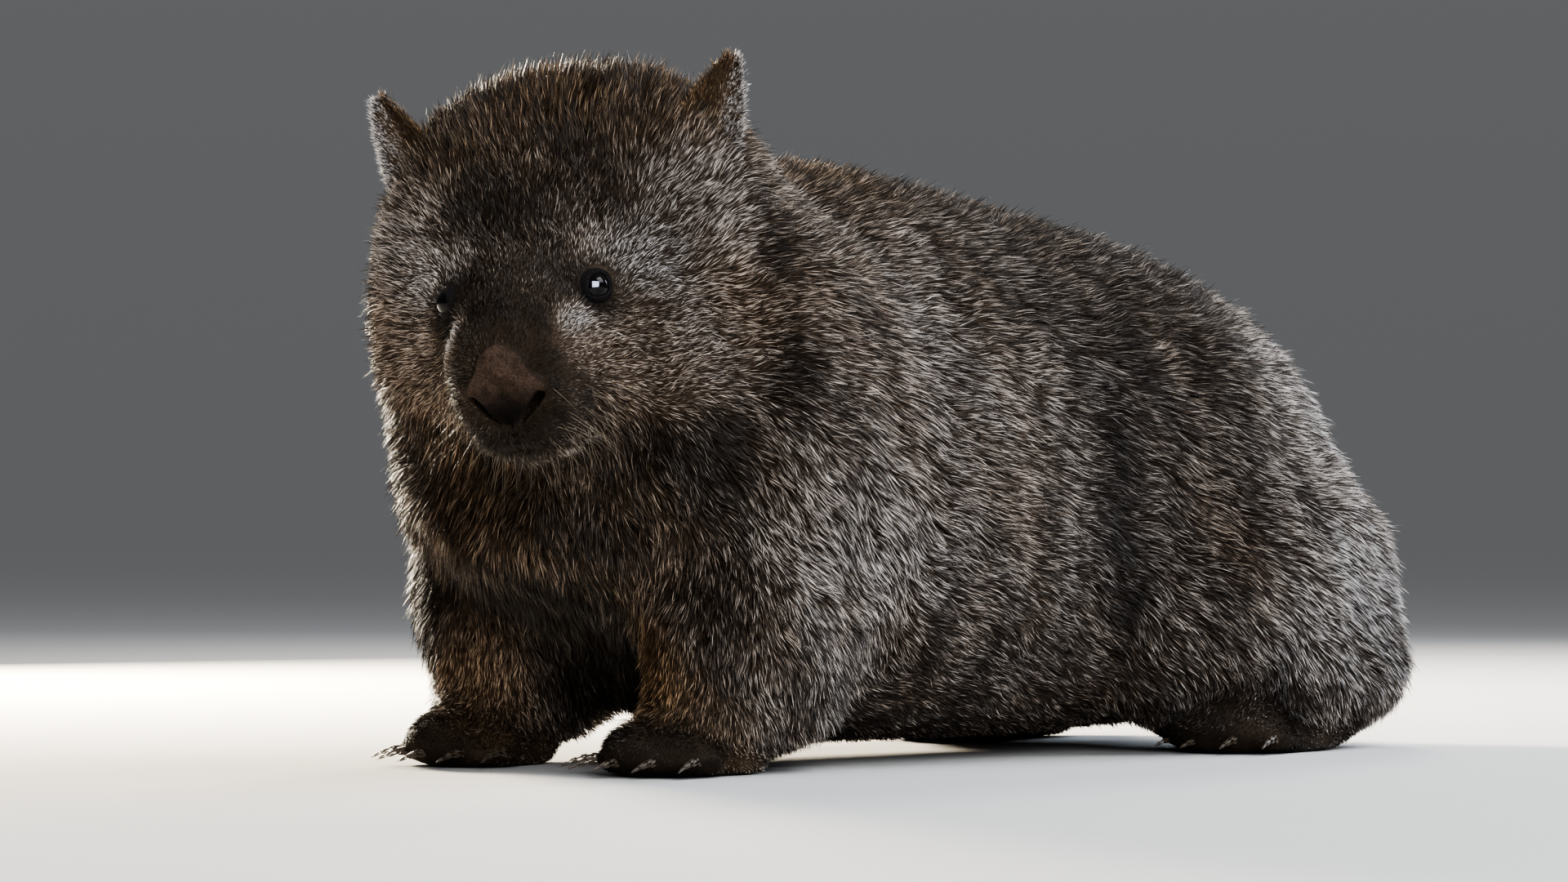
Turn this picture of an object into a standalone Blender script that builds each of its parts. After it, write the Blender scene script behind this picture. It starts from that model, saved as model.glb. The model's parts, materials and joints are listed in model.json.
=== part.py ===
"""A common wombat, life size, standing low on its four feet with its head raised and turned to its left.

The animal faces -Y and its left side is +X. Every outline is taken at the tips of the coat. The flesh is
modelled whole from lofts and rounded masses, fused, and then parted into named pieces by thin cuts.
"""

from math import cos, pi, radians, sin

import bmesh
import bpy
from mathutils import Euler, Matrix, Vector

# Thin gap that every cut leaves between two neighbouring pieces
GAP = 0.0003
# Grain of the fused flesh, the passes that soften its joins and the share of its triangles that is kept
FUSE_SIZE = 0.005
SOFTEN_PASSES = 8
KEPT_SHARE = 0.0242
# How freely the plain body is simplified, and how far the care for the face and for each foot reaches
BODY_FREEDOM = 1.2
FACE_REACH = 0.125
FOOT_REACH = 0.085
TAIL_REACH = 0.050

# The head's own axes run forward, left and up from a point midway between the eyes
EYES_MIDPOINT = Vector((0.072, -0.266, 0.257))
HEAD_TURN = radians(31)
HEAD_NOD = radians(20)
HEAD_TILT = radians(5.5)
EYE_RADIUS = 0.0085
EYE_PLACE = (-0.0053, 0.0390, -0.0035)
# Both eyes sit this far to the animal's right of the muzzle's middle line
EYES_SIDEWAYS = Vector((0.0, -0.0015, 0.0))
NOSE_TIP = (0.060, 0.000, -0.032)
NOSE_HALF_SIZE = (0.020, 0.0245, 0.0215)
NOSTRIL_PLACE = (0.0555, 0.0165, -0.042)
NOSTRIL_HALF_SIZE = (0.0110, 0.0042, 0.0060)
MOUTH_HEIGHT = -0.066
MOUTH_BACK = 0.018
HEAD_BACK = -0.138
HEAD_BOTTOM = -0.120
NECK_BACK = -0.192
THROAT_BOTTOM = -0.170

EAR_BASE = (-0.114, 0.083, 0.048)
EAR_TIP = (-0.128, 0.103, 0.089)
EAR_FACING = (0.92, 0.30, 0.25)
EAR_HALF_WIDTH = 0.0215
EAR_ROOT_LENGTH = 0.016
EAR_CUP = 0.011
EAR_POINT = 0.80
EAR_THICKNESS = 0.0055

FORE_FOOT = Vector((0.078, -0.167, 0.0))
HIND_FOOT = Vector((0.118, 0.262, 0.0))
ANKLE_HEIGHT = 0.030
WRIST_BACK = -0.118
TOES_FRONT = 0.196
HEEL_BACK = 0.362
SHOULDER_BACK = -0.010
RUMP_FRONT = 0.175
# Where the feet are parted from the body: inner edges, front of the paws, and clear of the flanks and floor
FORE_INNER = 0.030
HIND_INNER = 0.080
PAW_FRONT = -0.30
FLANK_CLEAR = 0.25
BELOW = -0.10
# Rounded borders along which the legs are parted from the body
ARM_PLACE = (0.104, -0.112, 0.070)
ARM_HALF_SIZE = (0.086, 0.100, 0.112)
ARM_LEAN = (-12, 0, 0)
THIGH_PLACE = (0.128, 0.285, 0.085)
THIGH_HALF_SIZE = (0.080, 0.168, 0.116)
THIGH_TURN = 4
FORE_CLAW_LENGTH = 0.024
HIND_CLAW_LENGTH = 0.021
CLAW_RADIUS = 0.0038
CLAW_NARROWNESS = 0.72

TAIL_ROOT = Vector((0.0, 0.446, 0.092))
TAIL_LENGTH = 0.026
TAIL_RADIUS = 0.014
TAIL_CUT = 0.449

FUR_BROWN = (0.115, 0.082, 0.060)
FUR_GREY = (0.130, 0.115, 0.105)
FUR_DARK = (0.055, 0.040, 0.032)
SKIN_DARK = (0.060, 0.040, 0.035)
EYE_BLACK = (0.010, 0.008, 0.008)
CLAW_HORN = (0.120, 0.090, 0.065)


def start_empty():
    for thing in list(bpy.data.objects):
        bpy.data.objects.remove(thing)


def new_collection(name):
    made = bpy.data.collections.new(name)
    bpy.context.scene.collection.children.link(made)
    return made


def new_material(name, colour, roughness):
    made = bpy.data.materials.new(name)
    made.use_nodes = True
    shader = made.node_tree.nodes["Principled BSDF"]
    shader.inputs["Base Color"].default_value = (*colour, 1.0)
    shader.inputs["Roughness"].default_value = roughness
    shader.inputs["Metallic"].default_value = 0.0
    return made


def new_object(name, data, collection, matrix=None):
    made = bpy.data.objects.new(name, data)
    collection.objects.link(made)
    if matrix is not None:
        made.matrix_world = matrix
    return made


def baked_mesh(thing):
    """The mesh of an object with its modifiers applied, in world space and welded."""
    bpy.context.view_layer.update()
    seen = thing.evaluated_get(bpy.context.evaluated_depsgraph_get())
    mesh = bpy.data.meshes.new_from_object(seen)
    mesh.transform(thing.matrix_world)
    work = bmesh.new()
    work.from_mesh(mesh)
    bmesh.ops.remove_doubles(work, verts=work.verts, dist=0.00001)
    bmesh.ops.recalc_face_normals(work, faces=work.faces)
    if work.calc_volume(signed=True) < 0:
        bmesh.ops.reverse_faces(work, faces=work.faces)
    work.to_mesh(mesh)
    work.free()
    return mesh


def head_axes():
    """The matrix from the head's forward, left and up axes to the model's own."""
    level_forward = Vector((sin(HEAD_TURN), -cos(HEAD_TURN), 0.0))
    left = Vector((cos(HEAD_TURN), sin(HEAD_TURN), 0.0))
    forward = level_forward * cos(HEAD_NOD) - Vector((0, 0, 1)) * sin(HEAD_NOD)
    up = level_forward * sin(HEAD_NOD) + Vector((0, 0, 1)) * cos(HEAD_NOD)
    left, up = left * cos(HEAD_TILT) + up * sin(HEAD_TILT), up * cos(HEAD_TILT) - left * sin(HEAD_TILT)
    turned = Matrix((forward, left, up)).transposed().to_4x4()
    return Matrix.Translation(EYES_MIDPOINT) @ turned


def squared(value, power):
    """A sine or cosine bent so that an oval through it grows squarer as power rises above 2."""
    return (1 if value >= 0 else -1) * abs(value) ** (2 / power)


def oval(along, half_width, low, widest, high, power, sides=28):
    """One section of a loft that runs along its first axis: an oval, widest at its own level."""
    points = []
    for step in range(sides):
        turn = 2 * pi * step / sides
        across = half_width * squared(cos(turn), power)
        rise = squared(sin(turn), power)
        level = widest + rise * ((high - widest) if rise > 0 else (widest - low))
        points.append(Vector((along, across, level)))
    return points


def loft(sections, matrix):
    """A closed mesh through ovals (along, half_width, low, widest, high, power), placed by matrix."""
    work = bmesh.new()
    rings = [[work.verts.new(matrix @ p) for p in oval(*section)] for section in sections]
    for near, far in zip(rings, rings[1:]):
        for i in range(len(near)):
            j = (i + 1) % len(near)
            work.faces.new((near[i], near[j], far[j], far[i]))
    work.faces.new(rings[0])
    work.faces.new(rings[-1])
    bmesh.ops.recalc_face_normals(work, faces=work.faces)
    mesh = bpy.data.meshes.new("loft")
    work.to_mesh(mesh)
    work.free()
    return mesh


def mass(place, half_size, turn=(0, 0, 0), matrix=Matrix.Identity(4), sides=24):
    """A rounded mass of flesh: a sphere stretched to half_size, turned in degrees and put in place."""
    work = bmesh.new()
    bmesh.ops.create_uvsphere(work, u_segments=sides, v_segments=sides * 2 // 3, radius=1.0)
    turned = Euler([radians(a) for a in turn]).to_matrix().to_4x4()
    stretched = Matrix.Diagonal((*half_size, 1.0))
    work.transform(matrix @ Matrix.Translation(place) @ turned @ stretched)
    mesh = bpy.data.meshes.new("mass")
    work.to_mesh(mesh)
    work.free()
    return mesh


def mirrored(meshes):
    """Those meshes and their twins on the other side of the body."""
    twins = []
    for mesh in meshes:
        twin = mesh.copy()
        twin.transform(Matrix.Diagonal((-1, 1, 1, 1)))
        twin.flip_normals()
        twins.append(twin)
    return meshes + twins


def trunk_masses():
    """Barrel of the body from the chest to the rump, as (y, half width, low, widest, high, power)."""
    to_world = Matrix(((0, 1, 0, 0), (1, 0, 0, 0), (0, 0, 1, 0), (0, 0, 0, 1)))
    sections = (
        (-0.240, 0.058, 0.122, 0.168, 0.235, 2.0),
        (-0.218, 0.098, 0.103, 0.168, 0.285, 2.1),
        (-0.178, 0.131, 0.080, 0.162, 0.320, 2.2),
        (-0.110, 0.149, 0.030, 0.155, 0.342, 2.2),
        (-0.020, 0.155, 0.010, 0.150, 0.347, 2.2),
        (0.060, 0.151, 0.008, 0.145, 0.341, 2.2),
        (0.115, 0.143, 0.008, 0.142, 0.333, 2.2),
        (0.180, 0.147, 0.008, 0.138, 0.323, 2.2),
        (0.260, 0.152, 0.012, 0.130, 0.307, 2.2),
        (0.320, 0.138, 0.022, 0.122, 0.290, 2.1),
        (0.370, 0.118, 0.036, 0.115, 0.267, 2.0),
        (0.410, 0.089, 0.054, 0.110, 0.235, 2.0),
        (0.437, 0.058, 0.072, 0.108, 0.197, 2.0),
        (0.452, 0.026, 0.090, 0.112, 0.152, 2.0),
    )
    return [loft(sections, to_world)]


def limb_masses():
    """Shoulder, foreleg, paw, haunch, shank and hind foot of both sides."""
    left = [
        mass((0.096, -0.098, 0.195), (0.062, 0.100, 0.120), (12, 0, 0)),
        mass((0.095, -0.118, 0.100), (0.057, 0.072, 0.082), (-8, 0, 0)),
        mass((0.085, -0.134, 0.056), (0.040, 0.050, 0.064)),
        mass((0.092, -0.100, 0.046), (0.041, 0.050, 0.040)),
        mass((0.080, -0.156, 0.016), (0.034, 0.056, 0.022)),
        mass((0.096, 0.278, 0.100), (0.072, 0.148, 0.098)),
        mass((0.112, 0.328, 0.050), (0.054, 0.094, 0.050)),
        mass((0.118, 0.285, 0.016), (0.038, 0.072, 0.024)),
    ]
    left += [toe_mass(FORE_FOOT, spread, 0.0105, 0.020) for spread in range(-2, 3)]
    left += [toe_mass(HIND_FOOT, spread, 0.0105, 0.024) for spread in range(-2, 3)]
    return mirrored(left)


def toe_place(foot, spread):
    """Where the toe numbered from -2 (inner) to 2 (outer) ends, and the way it points."""
    fan = radians(9 * spread)
    reach = 0.046 - 0.0035 * spread * spread
    start = foot + Vector((0.0155 * spread, 0.012, 0.011))
    way = Vector((sin(fan), -cos(fan), -0.05))
    return start + way * reach, way


def toe_mass(foot, spread, radius, half_length):
    tip, way = toe_place(foot, spread)
    across = degrees_of(way)
    return mass(tip - way * half_length * 0.7, (radius, half_length, radius * 0.95), (0, 0, across))


def degrees_of(way):
    """The turn about +Z, in degrees, that carries -Y to this way."""
    return Vector((0, -1)).angle_signed(way.to_2d()) * -180 / pi


def head_masses(axes):
    """Skull, muzzle, cheeks and the short thick neck, in the head's own axes."""
    sections = (
        (0.0615, 0.014, -0.047, -0.033, -0.020, 2.0),
        (0.057, 0.026, -0.066, -0.038, -0.012, 2.2),
        (0.047, 0.034, -0.079, -0.042, -0.003, 2.3),
        (0.033, 0.041, -0.087, -0.044, 0.004, 2.3),
        (0.016, 0.049, -0.092, -0.044, 0.010, 2.2),
        (-0.002, 0.0585, -0.096, -0.045, 0.017, 2.1),
        (-0.025, 0.083, -0.100, -0.050, 0.033, 2.0),
        (-0.050, 0.111, -0.108, -0.062, 0.055, 2.1),
        (-0.080, 0.126, -0.117, -0.070, 0.077, 2.3),
        (-0.110, 0.131, -0.124, -0.070, 0.090, 2.5),
        (-0.140, 0.126, -0.124, -0.056, 0.092, 2.5),
        (-0.170, 0.106, -0.112, -0.036, 0.081, 2.2),
    )
    neck = [
        mass((0.014, -0.130, 0.250), (0.128, 0.100, 0.106)),
        mass((0.006, -0.172, 0.198), (0.136, 0.078, 0.090)),
    ]
    return [loft(sections, axes)] + neck


def fuse(meshes, collection, cared_for):
    """One closed flesh of all the masses: fused on a fine grid, softened at the joins and simplified."""
    work = bmesh.new()
    for mesh in meshes:
        work.from_mesh(mesh)
    heap = bpy.data.meshes.new("heap")
    work.to_mesh(heap)
    work.free()
    flesh = new_object("flesh_whole", heap, collection)
    remesh = flesh.modifiers.new("fuse", "REMESH")
    remesh.mode = "VOXEL"
    remesh.voxel_size = FUSE_SIZE
    smooth = flesh.modifiers.new("soften", "SMOOTH")
    smooth.factor = 0.5
    smooth.iterations = SOFTEN_PASSES
    flesh.hide_render = True
    solid = new_object("flesh_solid", baked_mesh(flesh), collection)
    solid.hide_render = True
    body = solid.vertex_groups.new(name="body")
    for vert in solid.data.vertices:
        freedom = 1.0
        for place, reach, least in cared_for:
            away = (vert.co - place).length / reach
            freedom = min(freedom, max(least, away - 0.6))
        body.add([vert.index], freedom, "REPLACE")
    thin = solid.modifiers.new("simplify", "DECIMATE")
    thin.ratio = KEPT_SHARE
    thin.vertex_group = body.name
    thin.vertex_group_factor = BODY_FREEDOM
    return baked_mesh(solid)


def box_cutter(name, low, high, matrix=Matrix.Identity(4)):
    """A helper box between two corners, in the axes that matrix gives."""
    work = bmesh.new()
    bmesh.ops.create_cube(work, size=1.0)
    size = [b - a for a, b in zip(low, high)]
    middle = [(a + b) / 2 for a, b in zip(low, high)]
    work.transform(matrix @ Matrix.Translation(middle) @ Matrix.Diagonal((*size, 1.0)))
    mesh = bpy.data.meshes.new(name)
    work.to_mesh(mesh)
    work.free()
    return as_cutter(name, mesh)


def as_cutter(name, mesh):
    cutter = new_object(name, mesh, helpers)
    cutter.hide_render = True
    cutter.display_type = "WIRE"
    return cutter


def grown(cutter):
    """A copy of a cutter that is larger by the thin gap all round."""
    copy = cutter.data.copy()
    work = bmesh.new()
    work.from_mesh(copy)
    work.normal_update()
    moves = [(v, v.normal.copy() * GAP * v.calc_shell_factor()) for v in work.verts]
    for vert, move in moves:
        vert.co += move
    work.to_mesh(copy)
    work.free()
    return as_cutter(cutter.name + "_grown", copy)


def cut(mesh, cutter, operation):
    """That mesh after one Boolean with a cutter."""
    holder = new_object("being_cut", mesh, helpers)
    boolean = holder.modifiers.new("cut", "BOOLEAN")
    boolean.operation = operation
    boolean.solver = "EXACT"
    boolean.object = cutter
    done = baked_mesh(holder)
    bpy.data.objects.remove(holder)
    return done


def largest_body(mesh):
    """The mesh without the crumbs that a cut may leave beside its main body."""
    work = bmesh.new()
    work.from_mesh(mesh)
    left = set(work.verts)
    bodies = []
    while left:
        seed = left.pop()
        body, edge_of_search = {seed}, [seed]
        while edge_of_search:
            vert = edge_of_search.pop()
            for edge in vert.link_edges:
                other = edge.other_vert(vert)
                if other not in body:
                    body.add(other)
                    edge_of_search.append(other)
        left -= body
        bodies.append(body)
    crumbs = [v for body in sorted(bodies, key=len)[:-1] for v in body]
    bmesh.ops.delete(work, geom=crumbs, context="VERTS")
    work.to_mesh(mesh)
    work.free()
    return mesh


def add_piece(name, mesh, material):
    mesh.name = name
    mesh.materials.clear()
    mesh.materials.append(material)
    mesh.shade_smooth()
    mesh.set_sharp_from_angle(angle=radians(50))
    return new_object(name, mesh, wombat)


def part_flesh(flesh, regions, rest_name, rest_material):
    """Cuts the flesh piece by piece: each region takes what lies in its box, and the next has the rest."""
    for name, cutter, material in regions:
        add_piece(name, largest_body(cut(flesh.copy(), cutter, "INTERSECT")), material)
        flesh = largest_body(cut(flesh, grown(cutter), "DIFFERENCE"))
    add_piece(rest_name, flesh, rest_material)


def ear_mesh(side, axes):
    """A rounded, cupped leaf with an open front, standing on a root that reaches into the head's coat."""
    flip = Vector((1, side, 1))
    base, tip, facing = (Vector(v) * flip for v in (EAR_BASE, EAR_TIP, EAR_FACING))
    along = (tip - base).normalized()
    facing = (facing - along * facing.dot(along)).normalized()
    across = along.cross(facing)
    start = base - along * EAR_ROOT_LENGTH
    length = (tip - start).length
    rows, columns = 5, 4
    work = bmesh.new()
    grid = []
    for row in range(rows):
        rise = row / (rows - 1)
        half = EAR_HALF_WIDTH * (1 - EAR_POINT * rise**1.6)
        line = []
        for column in range(columns + 1):
            share = 2 * column / columns - 1
            curl = EAR_CUP * share * share * (1 - 0.45 * rise)
            point = start + along * (length * rise) + across * (half * share) + facing * curl
            line.append(work.verts.new(point))
        grid.append(line)
    for low, high in zip(grid, grid[1:]):
        for i in range(columns):
            work.faces.new((low[i], low[i + 1], high[i + 1], high[i]))
    mesh = bpy.data.meshes.new("ear")
    work.to_mesh(mesh)
    work.free()
    holder = new_object("ear_sheet", mesh, helpers, axes)
    shell = holder.modifiers.new("thickness", "SOLIDIFY")
    shell.thickness = EAR_THICKNESS
    shell.offset = 0.0
    rounding = holder.modifiers.new("rounding", "SUBSURF")
    rounding.levels = 1
    rounding.render_levels = 1
    done = baked_mesh(holder)
    bpy.data.objects.remove(holder)
    return done


def claw_mesh(root, way, length, radius, spare=0.0, sink=0.007):
    """A curved, tapering claw that starts inside the toe, leaves it forward and bends to the ground."""
    rings, sides = 5, 6
    ahead = Vector((way.x, way.y, 0)).normalized()
    across = Vector((-ahead.y, ahead.x, 0))
    start = root - ahead * (sink + spare)
    work = bmesh.new()
    loops = []
    for step in range(rings):
        share = step / (rings - 1)
        bend = radians(8 + 34 * share)
        middle = start + ahead * (length + sink + 2 * spare) * share * cos(bend * 0.5)
        middle.z = root.z - max(0.0, share - 0.25) ** 1.6 * (root.z - radius * 0.45)
        heading = ahead * cos(bend) - Vector((0, 0, 1)) * sin(bend)
        lift = across.cross(heading)
        width = radius * (1 - 0.86 * share**1.3) + spare
        ring = []
        for turn in range(sides):
            angle = 2 * pi * turn / sides
            sideways = across * CLAW_NARROWNESS * width * cos(angle)
            ring.append(work.verts.new(middle + sideways + lift * width * sin(angle)))
        loops.append(ring)
    for near, far in zip(loops, loops[1:]):
        for i in range(sides):
            j = (i + 1) % sides
            work.faces.new((near[i], near[j], far[j], far[i]))
    work.faces.new(loops[0])
    work.faces.new(loops[-1])
    bmesh.ops.recalc_face_normals(work, faces=work.faces)
    mesh = bpy.data.meshes.new("claw")
    work.to_mesh(mesh)
    work.free()
    return mesh


def claw_list():
    """(name, claw, its slightly larger bed) of every claw: five on each forefoot, four behind."""
    claws = []
    for side, side_name in ((1, "left"), (-1, "right")):
        for foot, foot_name, numbers, length in (
            (FORE_FOOT, "forefoot", (-2, -1, 0, 1, 2), FORE_CLAW_LENGTH),
            (HIND_FOOT, "hindfoot", (-1, 0, 1, 2), HIND_CLAW_LENGTH),
        ):
            for spread in numbers:
                tip, way = toe_place(foot, spread)
                size = 1 - 0.09 * abs(spread)
                radius = CLAW_RADIUS * size
                pair = [claw_mesh(tip, way, length * size, radius, spare) for spare in (0.0, GAP)]
                if side < 0:
                    for mesh in pair:
                        mesh.transform(Matrix.Diagonal((-1, 1, 1, 1)))
                        mesh.flip_normals()
                claws.append((f"claw_{foot_name}_{side_name}_{spread + 3}", *pair))
    return claws


def region(name, place, half_size, turn=(0, 0, 0)):
    """A rounded helper that takes a limb out of the flesh along a curved border."""
    return as_cutter("round_" + name, mass(place, half_size, turn, sides=12))


def flesh_regions(axes):
    """The named pieces of flesh with the helper that takes each out, in the order of cutting."""
    chin = ((MOUTH_BACK, -0.10, -0.16), (0.10, 0.10, MOUTH_HEIGHT))
    face = ((HEAD_BACK, -0.20, HEAD_BOTTOM), (0.20, 0.20, 0.20))
    throat = ((NECK_BACK, -0.30, THROAT_BOTTOM), (0.05, 0.30, 0.20))
    regions = [
        ("jaw", box_cutter("box_jaw", *chin, axes), fur_brown),
        ("nose", as_cutter("round_nose", mass(NOSE_TIP, NOSE_HALF_SIZE, matrix=axes, sides=14)), skin_dark),
        ("head", box_cutter("box_head", *face, axes), fur_brown),
        ("neck", box_cutter("box_neck", *throat, axes), fur_brown),
    ]
    for side, name in ((1, "left"), (-1, "right")):
        fore = sorted((side * FORE_INNER, side * FLANK_CLEAR))
        hind = sorted((side * HIND_INNER, side * FLANK_CLEAR))
        paw = ((fore[0], PAW_FRONT, BELOW), (fore[1], WRIST_BACK, ANKLE_HEIGHT))
        heel = ((hind[0], TOES_FRONT, BELOW), (hind[1], HEEL_BACK, ANKLE_HEIGHT))
        arm = Vector(ARM_PLACE) * Vector((side, 1, 1))
        thigh = Vector(THIGH_PLACE) * Vector((side, 1, 1))
        thigh_turn = (0, 0, side * THIGH_TURN)
        regions += [
            (f"forefoot_{name}", box_cutter(f"box_forefoot_{name}", *paw), fur_dark),
            (f"foreleg_{name}", region(f"foreleg_{name}", arm, ARM_HALF_SIZE, ARM_LEAN), fur_brown),
            (f"hindfoot_{name}", box_cutter(f"box_hindfoot_{name}", *heel), fur_dark),
            (f"hindleg_{name}", region(f"hindleg_{name}", thigh, THIGH_HALF_SIZE, thigh_turn), fur_grey),
        ]
    stump = ((-0.03, TAIL_CUT, 0.04), (0.03, 0.60, 0.125))
    before = ((-0.40, -0.50, BELOW), (0.40, SHOULDER_BACK, 0.50))
    behind = ((-0.40, RUMP_FRONT, BELOW), (0.40, 0.60, 0.50))
    regions += [
        ("tail", box_cutter("box_tail", *stump), fur_grey),
        ("shoulders", box_cutter("box_shoulders", *before), fur_brown),
        ("rump", box_cutter("box_rump", *behind), fur_grey),
    ]
    return regions


def centre_on_floor():
    """Moves every piece so that the model's own origin is under the middle of its box, on the floor."""
    bpy.context.view_layer.update()
    corners = [thing.matrix_world @ Vector(c) for thing in wombat.objects for c in thing.bound_box]
    low = Vector([min(c[i] for c in corners) for i in range(3)])
    high = Vector([max(c[i] for c in corners) for i in range(3)])
    shift = Vector((-(low.x + high.x) / 2, -(low.y + high.y) / 2, -low.z))
    for thing in wombat.objects:
        thing.data.transform(Matrix.Translation(shift))
    return shift


start_empty()
wombat = new_collection("wombat")
helpers = new_collection("helpers")
fur_brown = new_material("fur_brown", FUR_BROWN, 0.85)
fur_grey = new_material("fur_grey", FUR_GREY, 0.85)
fur_dark = new_material("fur_dark", FUR_DARK, 0.85)
skin_dark = new_material("skin_dark", SKIN_DARK, 0.55)
eye_black = new_material("eye_black", EYE_BLACK, 0.08)
claw_horn = new_material("claw_horn", CLAW_HORN, 0.45)

head = head_axes()
feet = [foot * Vector((side, 1, 1)) for foot in (FORE_FOOT, HIND_FOOT) for side in (1, -1)]
cared_for = [(EYES_MIDPOINT, FACE_REACH, 0.10)] + [(foot, FOOT_REACH, 0.30) for foot in feet]
cared_for.append((TAIL_ROOT, TAIL_REACH, 0.30))
tail = mass(TAIL_ROOT, (TAIL_RADIUS, TAIL_LENGTH, TAIL_RADIUS), (-38, 0, 0))
flesh = fuse(trunk_masses() + limb_masses() + head_masses(head) + [tail], helpers, cared_for)
below_floor = box_cutter("below_floor", (-1, -1, -1), (1, 1, 0))
flesh = cut(flesh, below_floor, "DIFFERENCE")

for side, name in ((1, "left"), (-1, "right")):
    place = Vector(EYE_PLACE) * Vector((1, side, 1)) + EYES_SIDEWAYS
    ball = mass(place, (EYE_RADIUS,) * 3, matrix=head, sides=14)
    bed = mass(place, (EYE_RADIUS + GAP,) * 3, matrix=head, sides=14)
    socket = as_cutter(f"socket_{name}", bed)
    flesh = cut(flesh, socket, "DIFFERENCE")
    add_piece(f"eye_{name}", ball, eye_black)
    nostril = Vector(NOSTRIL_PLACE) * Vector((1, side, 1))
    slant = (side * 24, 0, side * 38)
    hole = as_cutter(f"nostril_{name}", mass(nostril, NOSTRIL_HALF_SIZE, slant, head, 10))
    flesh = cut(flesh, hole, "DIFFERENCE")

flesh_surface = as_cutter("flesh_surface", flesh.copy())
ear_clearance = grown(flesh_surface)
for side, name in ((1, "left"), (-1, "right")):
    ear = largest_body(cut(ear_mesh(side, head), ear_clearance, "DIFFERENCE"))
    add_piece(f"ear_{name}", ear, fur_brown)

for name, claw, bed in claw_list():
    add_piece(name, claw, claw_horn)
    flesh = cut(flesh, as_cutter(name + "_bed", bed), "DIFFERENCE")

part_flesh(flesh, flesh_regions(head), "barrel", fur_grey)
moved = centre_on_floor()
print("moved by", [round(x, 5) for x in moved])
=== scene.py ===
# %% [markdown]
# A common wombat as a museum would show it: life size, still, low on its four feet, its head raised and
# turned to its left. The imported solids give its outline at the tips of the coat. This lesson puts a
# living surface inside them: one skin, eyes, horn claws, whiskers, and a coat of real mesh tufts.

# %% Load the frame
import json
from math import cos, pi, radians, sin

import bmesh
import bpy
import numpy as np
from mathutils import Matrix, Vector
from mathutils.kdtree import KDTree

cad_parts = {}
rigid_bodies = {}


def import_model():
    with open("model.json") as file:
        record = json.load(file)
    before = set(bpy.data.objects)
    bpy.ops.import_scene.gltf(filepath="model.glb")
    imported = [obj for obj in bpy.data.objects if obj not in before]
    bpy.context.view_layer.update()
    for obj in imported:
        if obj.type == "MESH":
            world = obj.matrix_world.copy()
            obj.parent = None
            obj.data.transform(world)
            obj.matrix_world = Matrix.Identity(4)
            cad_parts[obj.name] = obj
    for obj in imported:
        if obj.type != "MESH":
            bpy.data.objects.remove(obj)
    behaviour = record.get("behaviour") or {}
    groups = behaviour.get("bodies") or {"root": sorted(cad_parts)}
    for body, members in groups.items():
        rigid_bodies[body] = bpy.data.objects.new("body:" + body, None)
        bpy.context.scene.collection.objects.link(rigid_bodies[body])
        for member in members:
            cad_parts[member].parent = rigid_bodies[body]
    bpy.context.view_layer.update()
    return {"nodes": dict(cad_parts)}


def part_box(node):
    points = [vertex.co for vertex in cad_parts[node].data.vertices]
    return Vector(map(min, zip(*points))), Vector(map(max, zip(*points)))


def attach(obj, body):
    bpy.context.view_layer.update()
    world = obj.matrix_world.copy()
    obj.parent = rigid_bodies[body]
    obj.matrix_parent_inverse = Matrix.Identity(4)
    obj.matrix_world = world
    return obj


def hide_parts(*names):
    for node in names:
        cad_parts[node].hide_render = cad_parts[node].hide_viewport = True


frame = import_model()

chance = np.random.default_rng(20)

# %% [markdown]
# The head has its own axes, because almost everything on a face is easier to say as "so far forward, left
# and up from between the eyes". The eye solids carry the place, and three angles carry the pose: how far
# the head is turned to the animal's left, how far the nose drops, and the small tilt.

# %% The head's own axes
HEAD_TURN = radians(31)
HEAD_NOD = radians(20)
HEAD_TILT = radians(5.5)
# Middle of the two eyes from the head's own origin: forward, left, up
EYES_MIDDLE = (-0.0053, -0.0015, -0.0035)

def middle_of(node):
    low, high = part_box(node)
    return (np.array(low) + np.array(high)) / 2

def head_axes():
    """Rows: the head's forward, left and up directions in the frame."""
    level = np.array((sin(HEAD_TURN), -cos(HEAD_TURN), 0.0))
    left = np.array((cos(HEAD_TURN), sin(HEAD_TURN), 0.0))
    high = np.array((0.0, 0.0, 1.0))
    forward = level * cos(HEAD_NOD) - high * sin(HEAD_NOD)
    up = level * sin(HEAD_NOD) + high * cos(HEAD_NOD)
    tilted_left = left * cos(HEAD_TILT) + up * sin(HEAD_TILT)
    tilted_up = up * cos(HEAD_TILT) - left * sin(HEAD_TILT)
    return np.array((forward, tilted_left, tilted_up))

AXES = head_axes()
eyes = {side: middle_of(f"eye_{side}") for side in ("left", "right")}
HEAD_ORIGIN = (eyes["left"] + eyes["right"]) / 2 - np.array(EYES_MIDDLE) @ AXES

def to_head(points):
    return (points - HEAD_ORIGIN) @ AXES.T

def from_head(points):
    return points @ AXES + HEAD_ORIGIN

eyes_apart = float(np.linalg.norm(eyes["left"] - eyes["right"]))
print("between the eyes", HEAD_ORIGIN.round(4), "eyes apart", round(eyes_apart, 4))

# %% [markdown]
# A wombat's coat changes from place to place: a few millimetres of velvet on the muzzle, coarse guard hairs
# over the back. One chart holds all of it. Each spot says, round one place on the animal, how deep the coat
# is, how long and wide its tufts are, how far apart they stand, which way they lie, and how pale, warm or
# dark they are. The skin, the tufts and their colours all read this one chart, so they can't drift apart.

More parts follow.
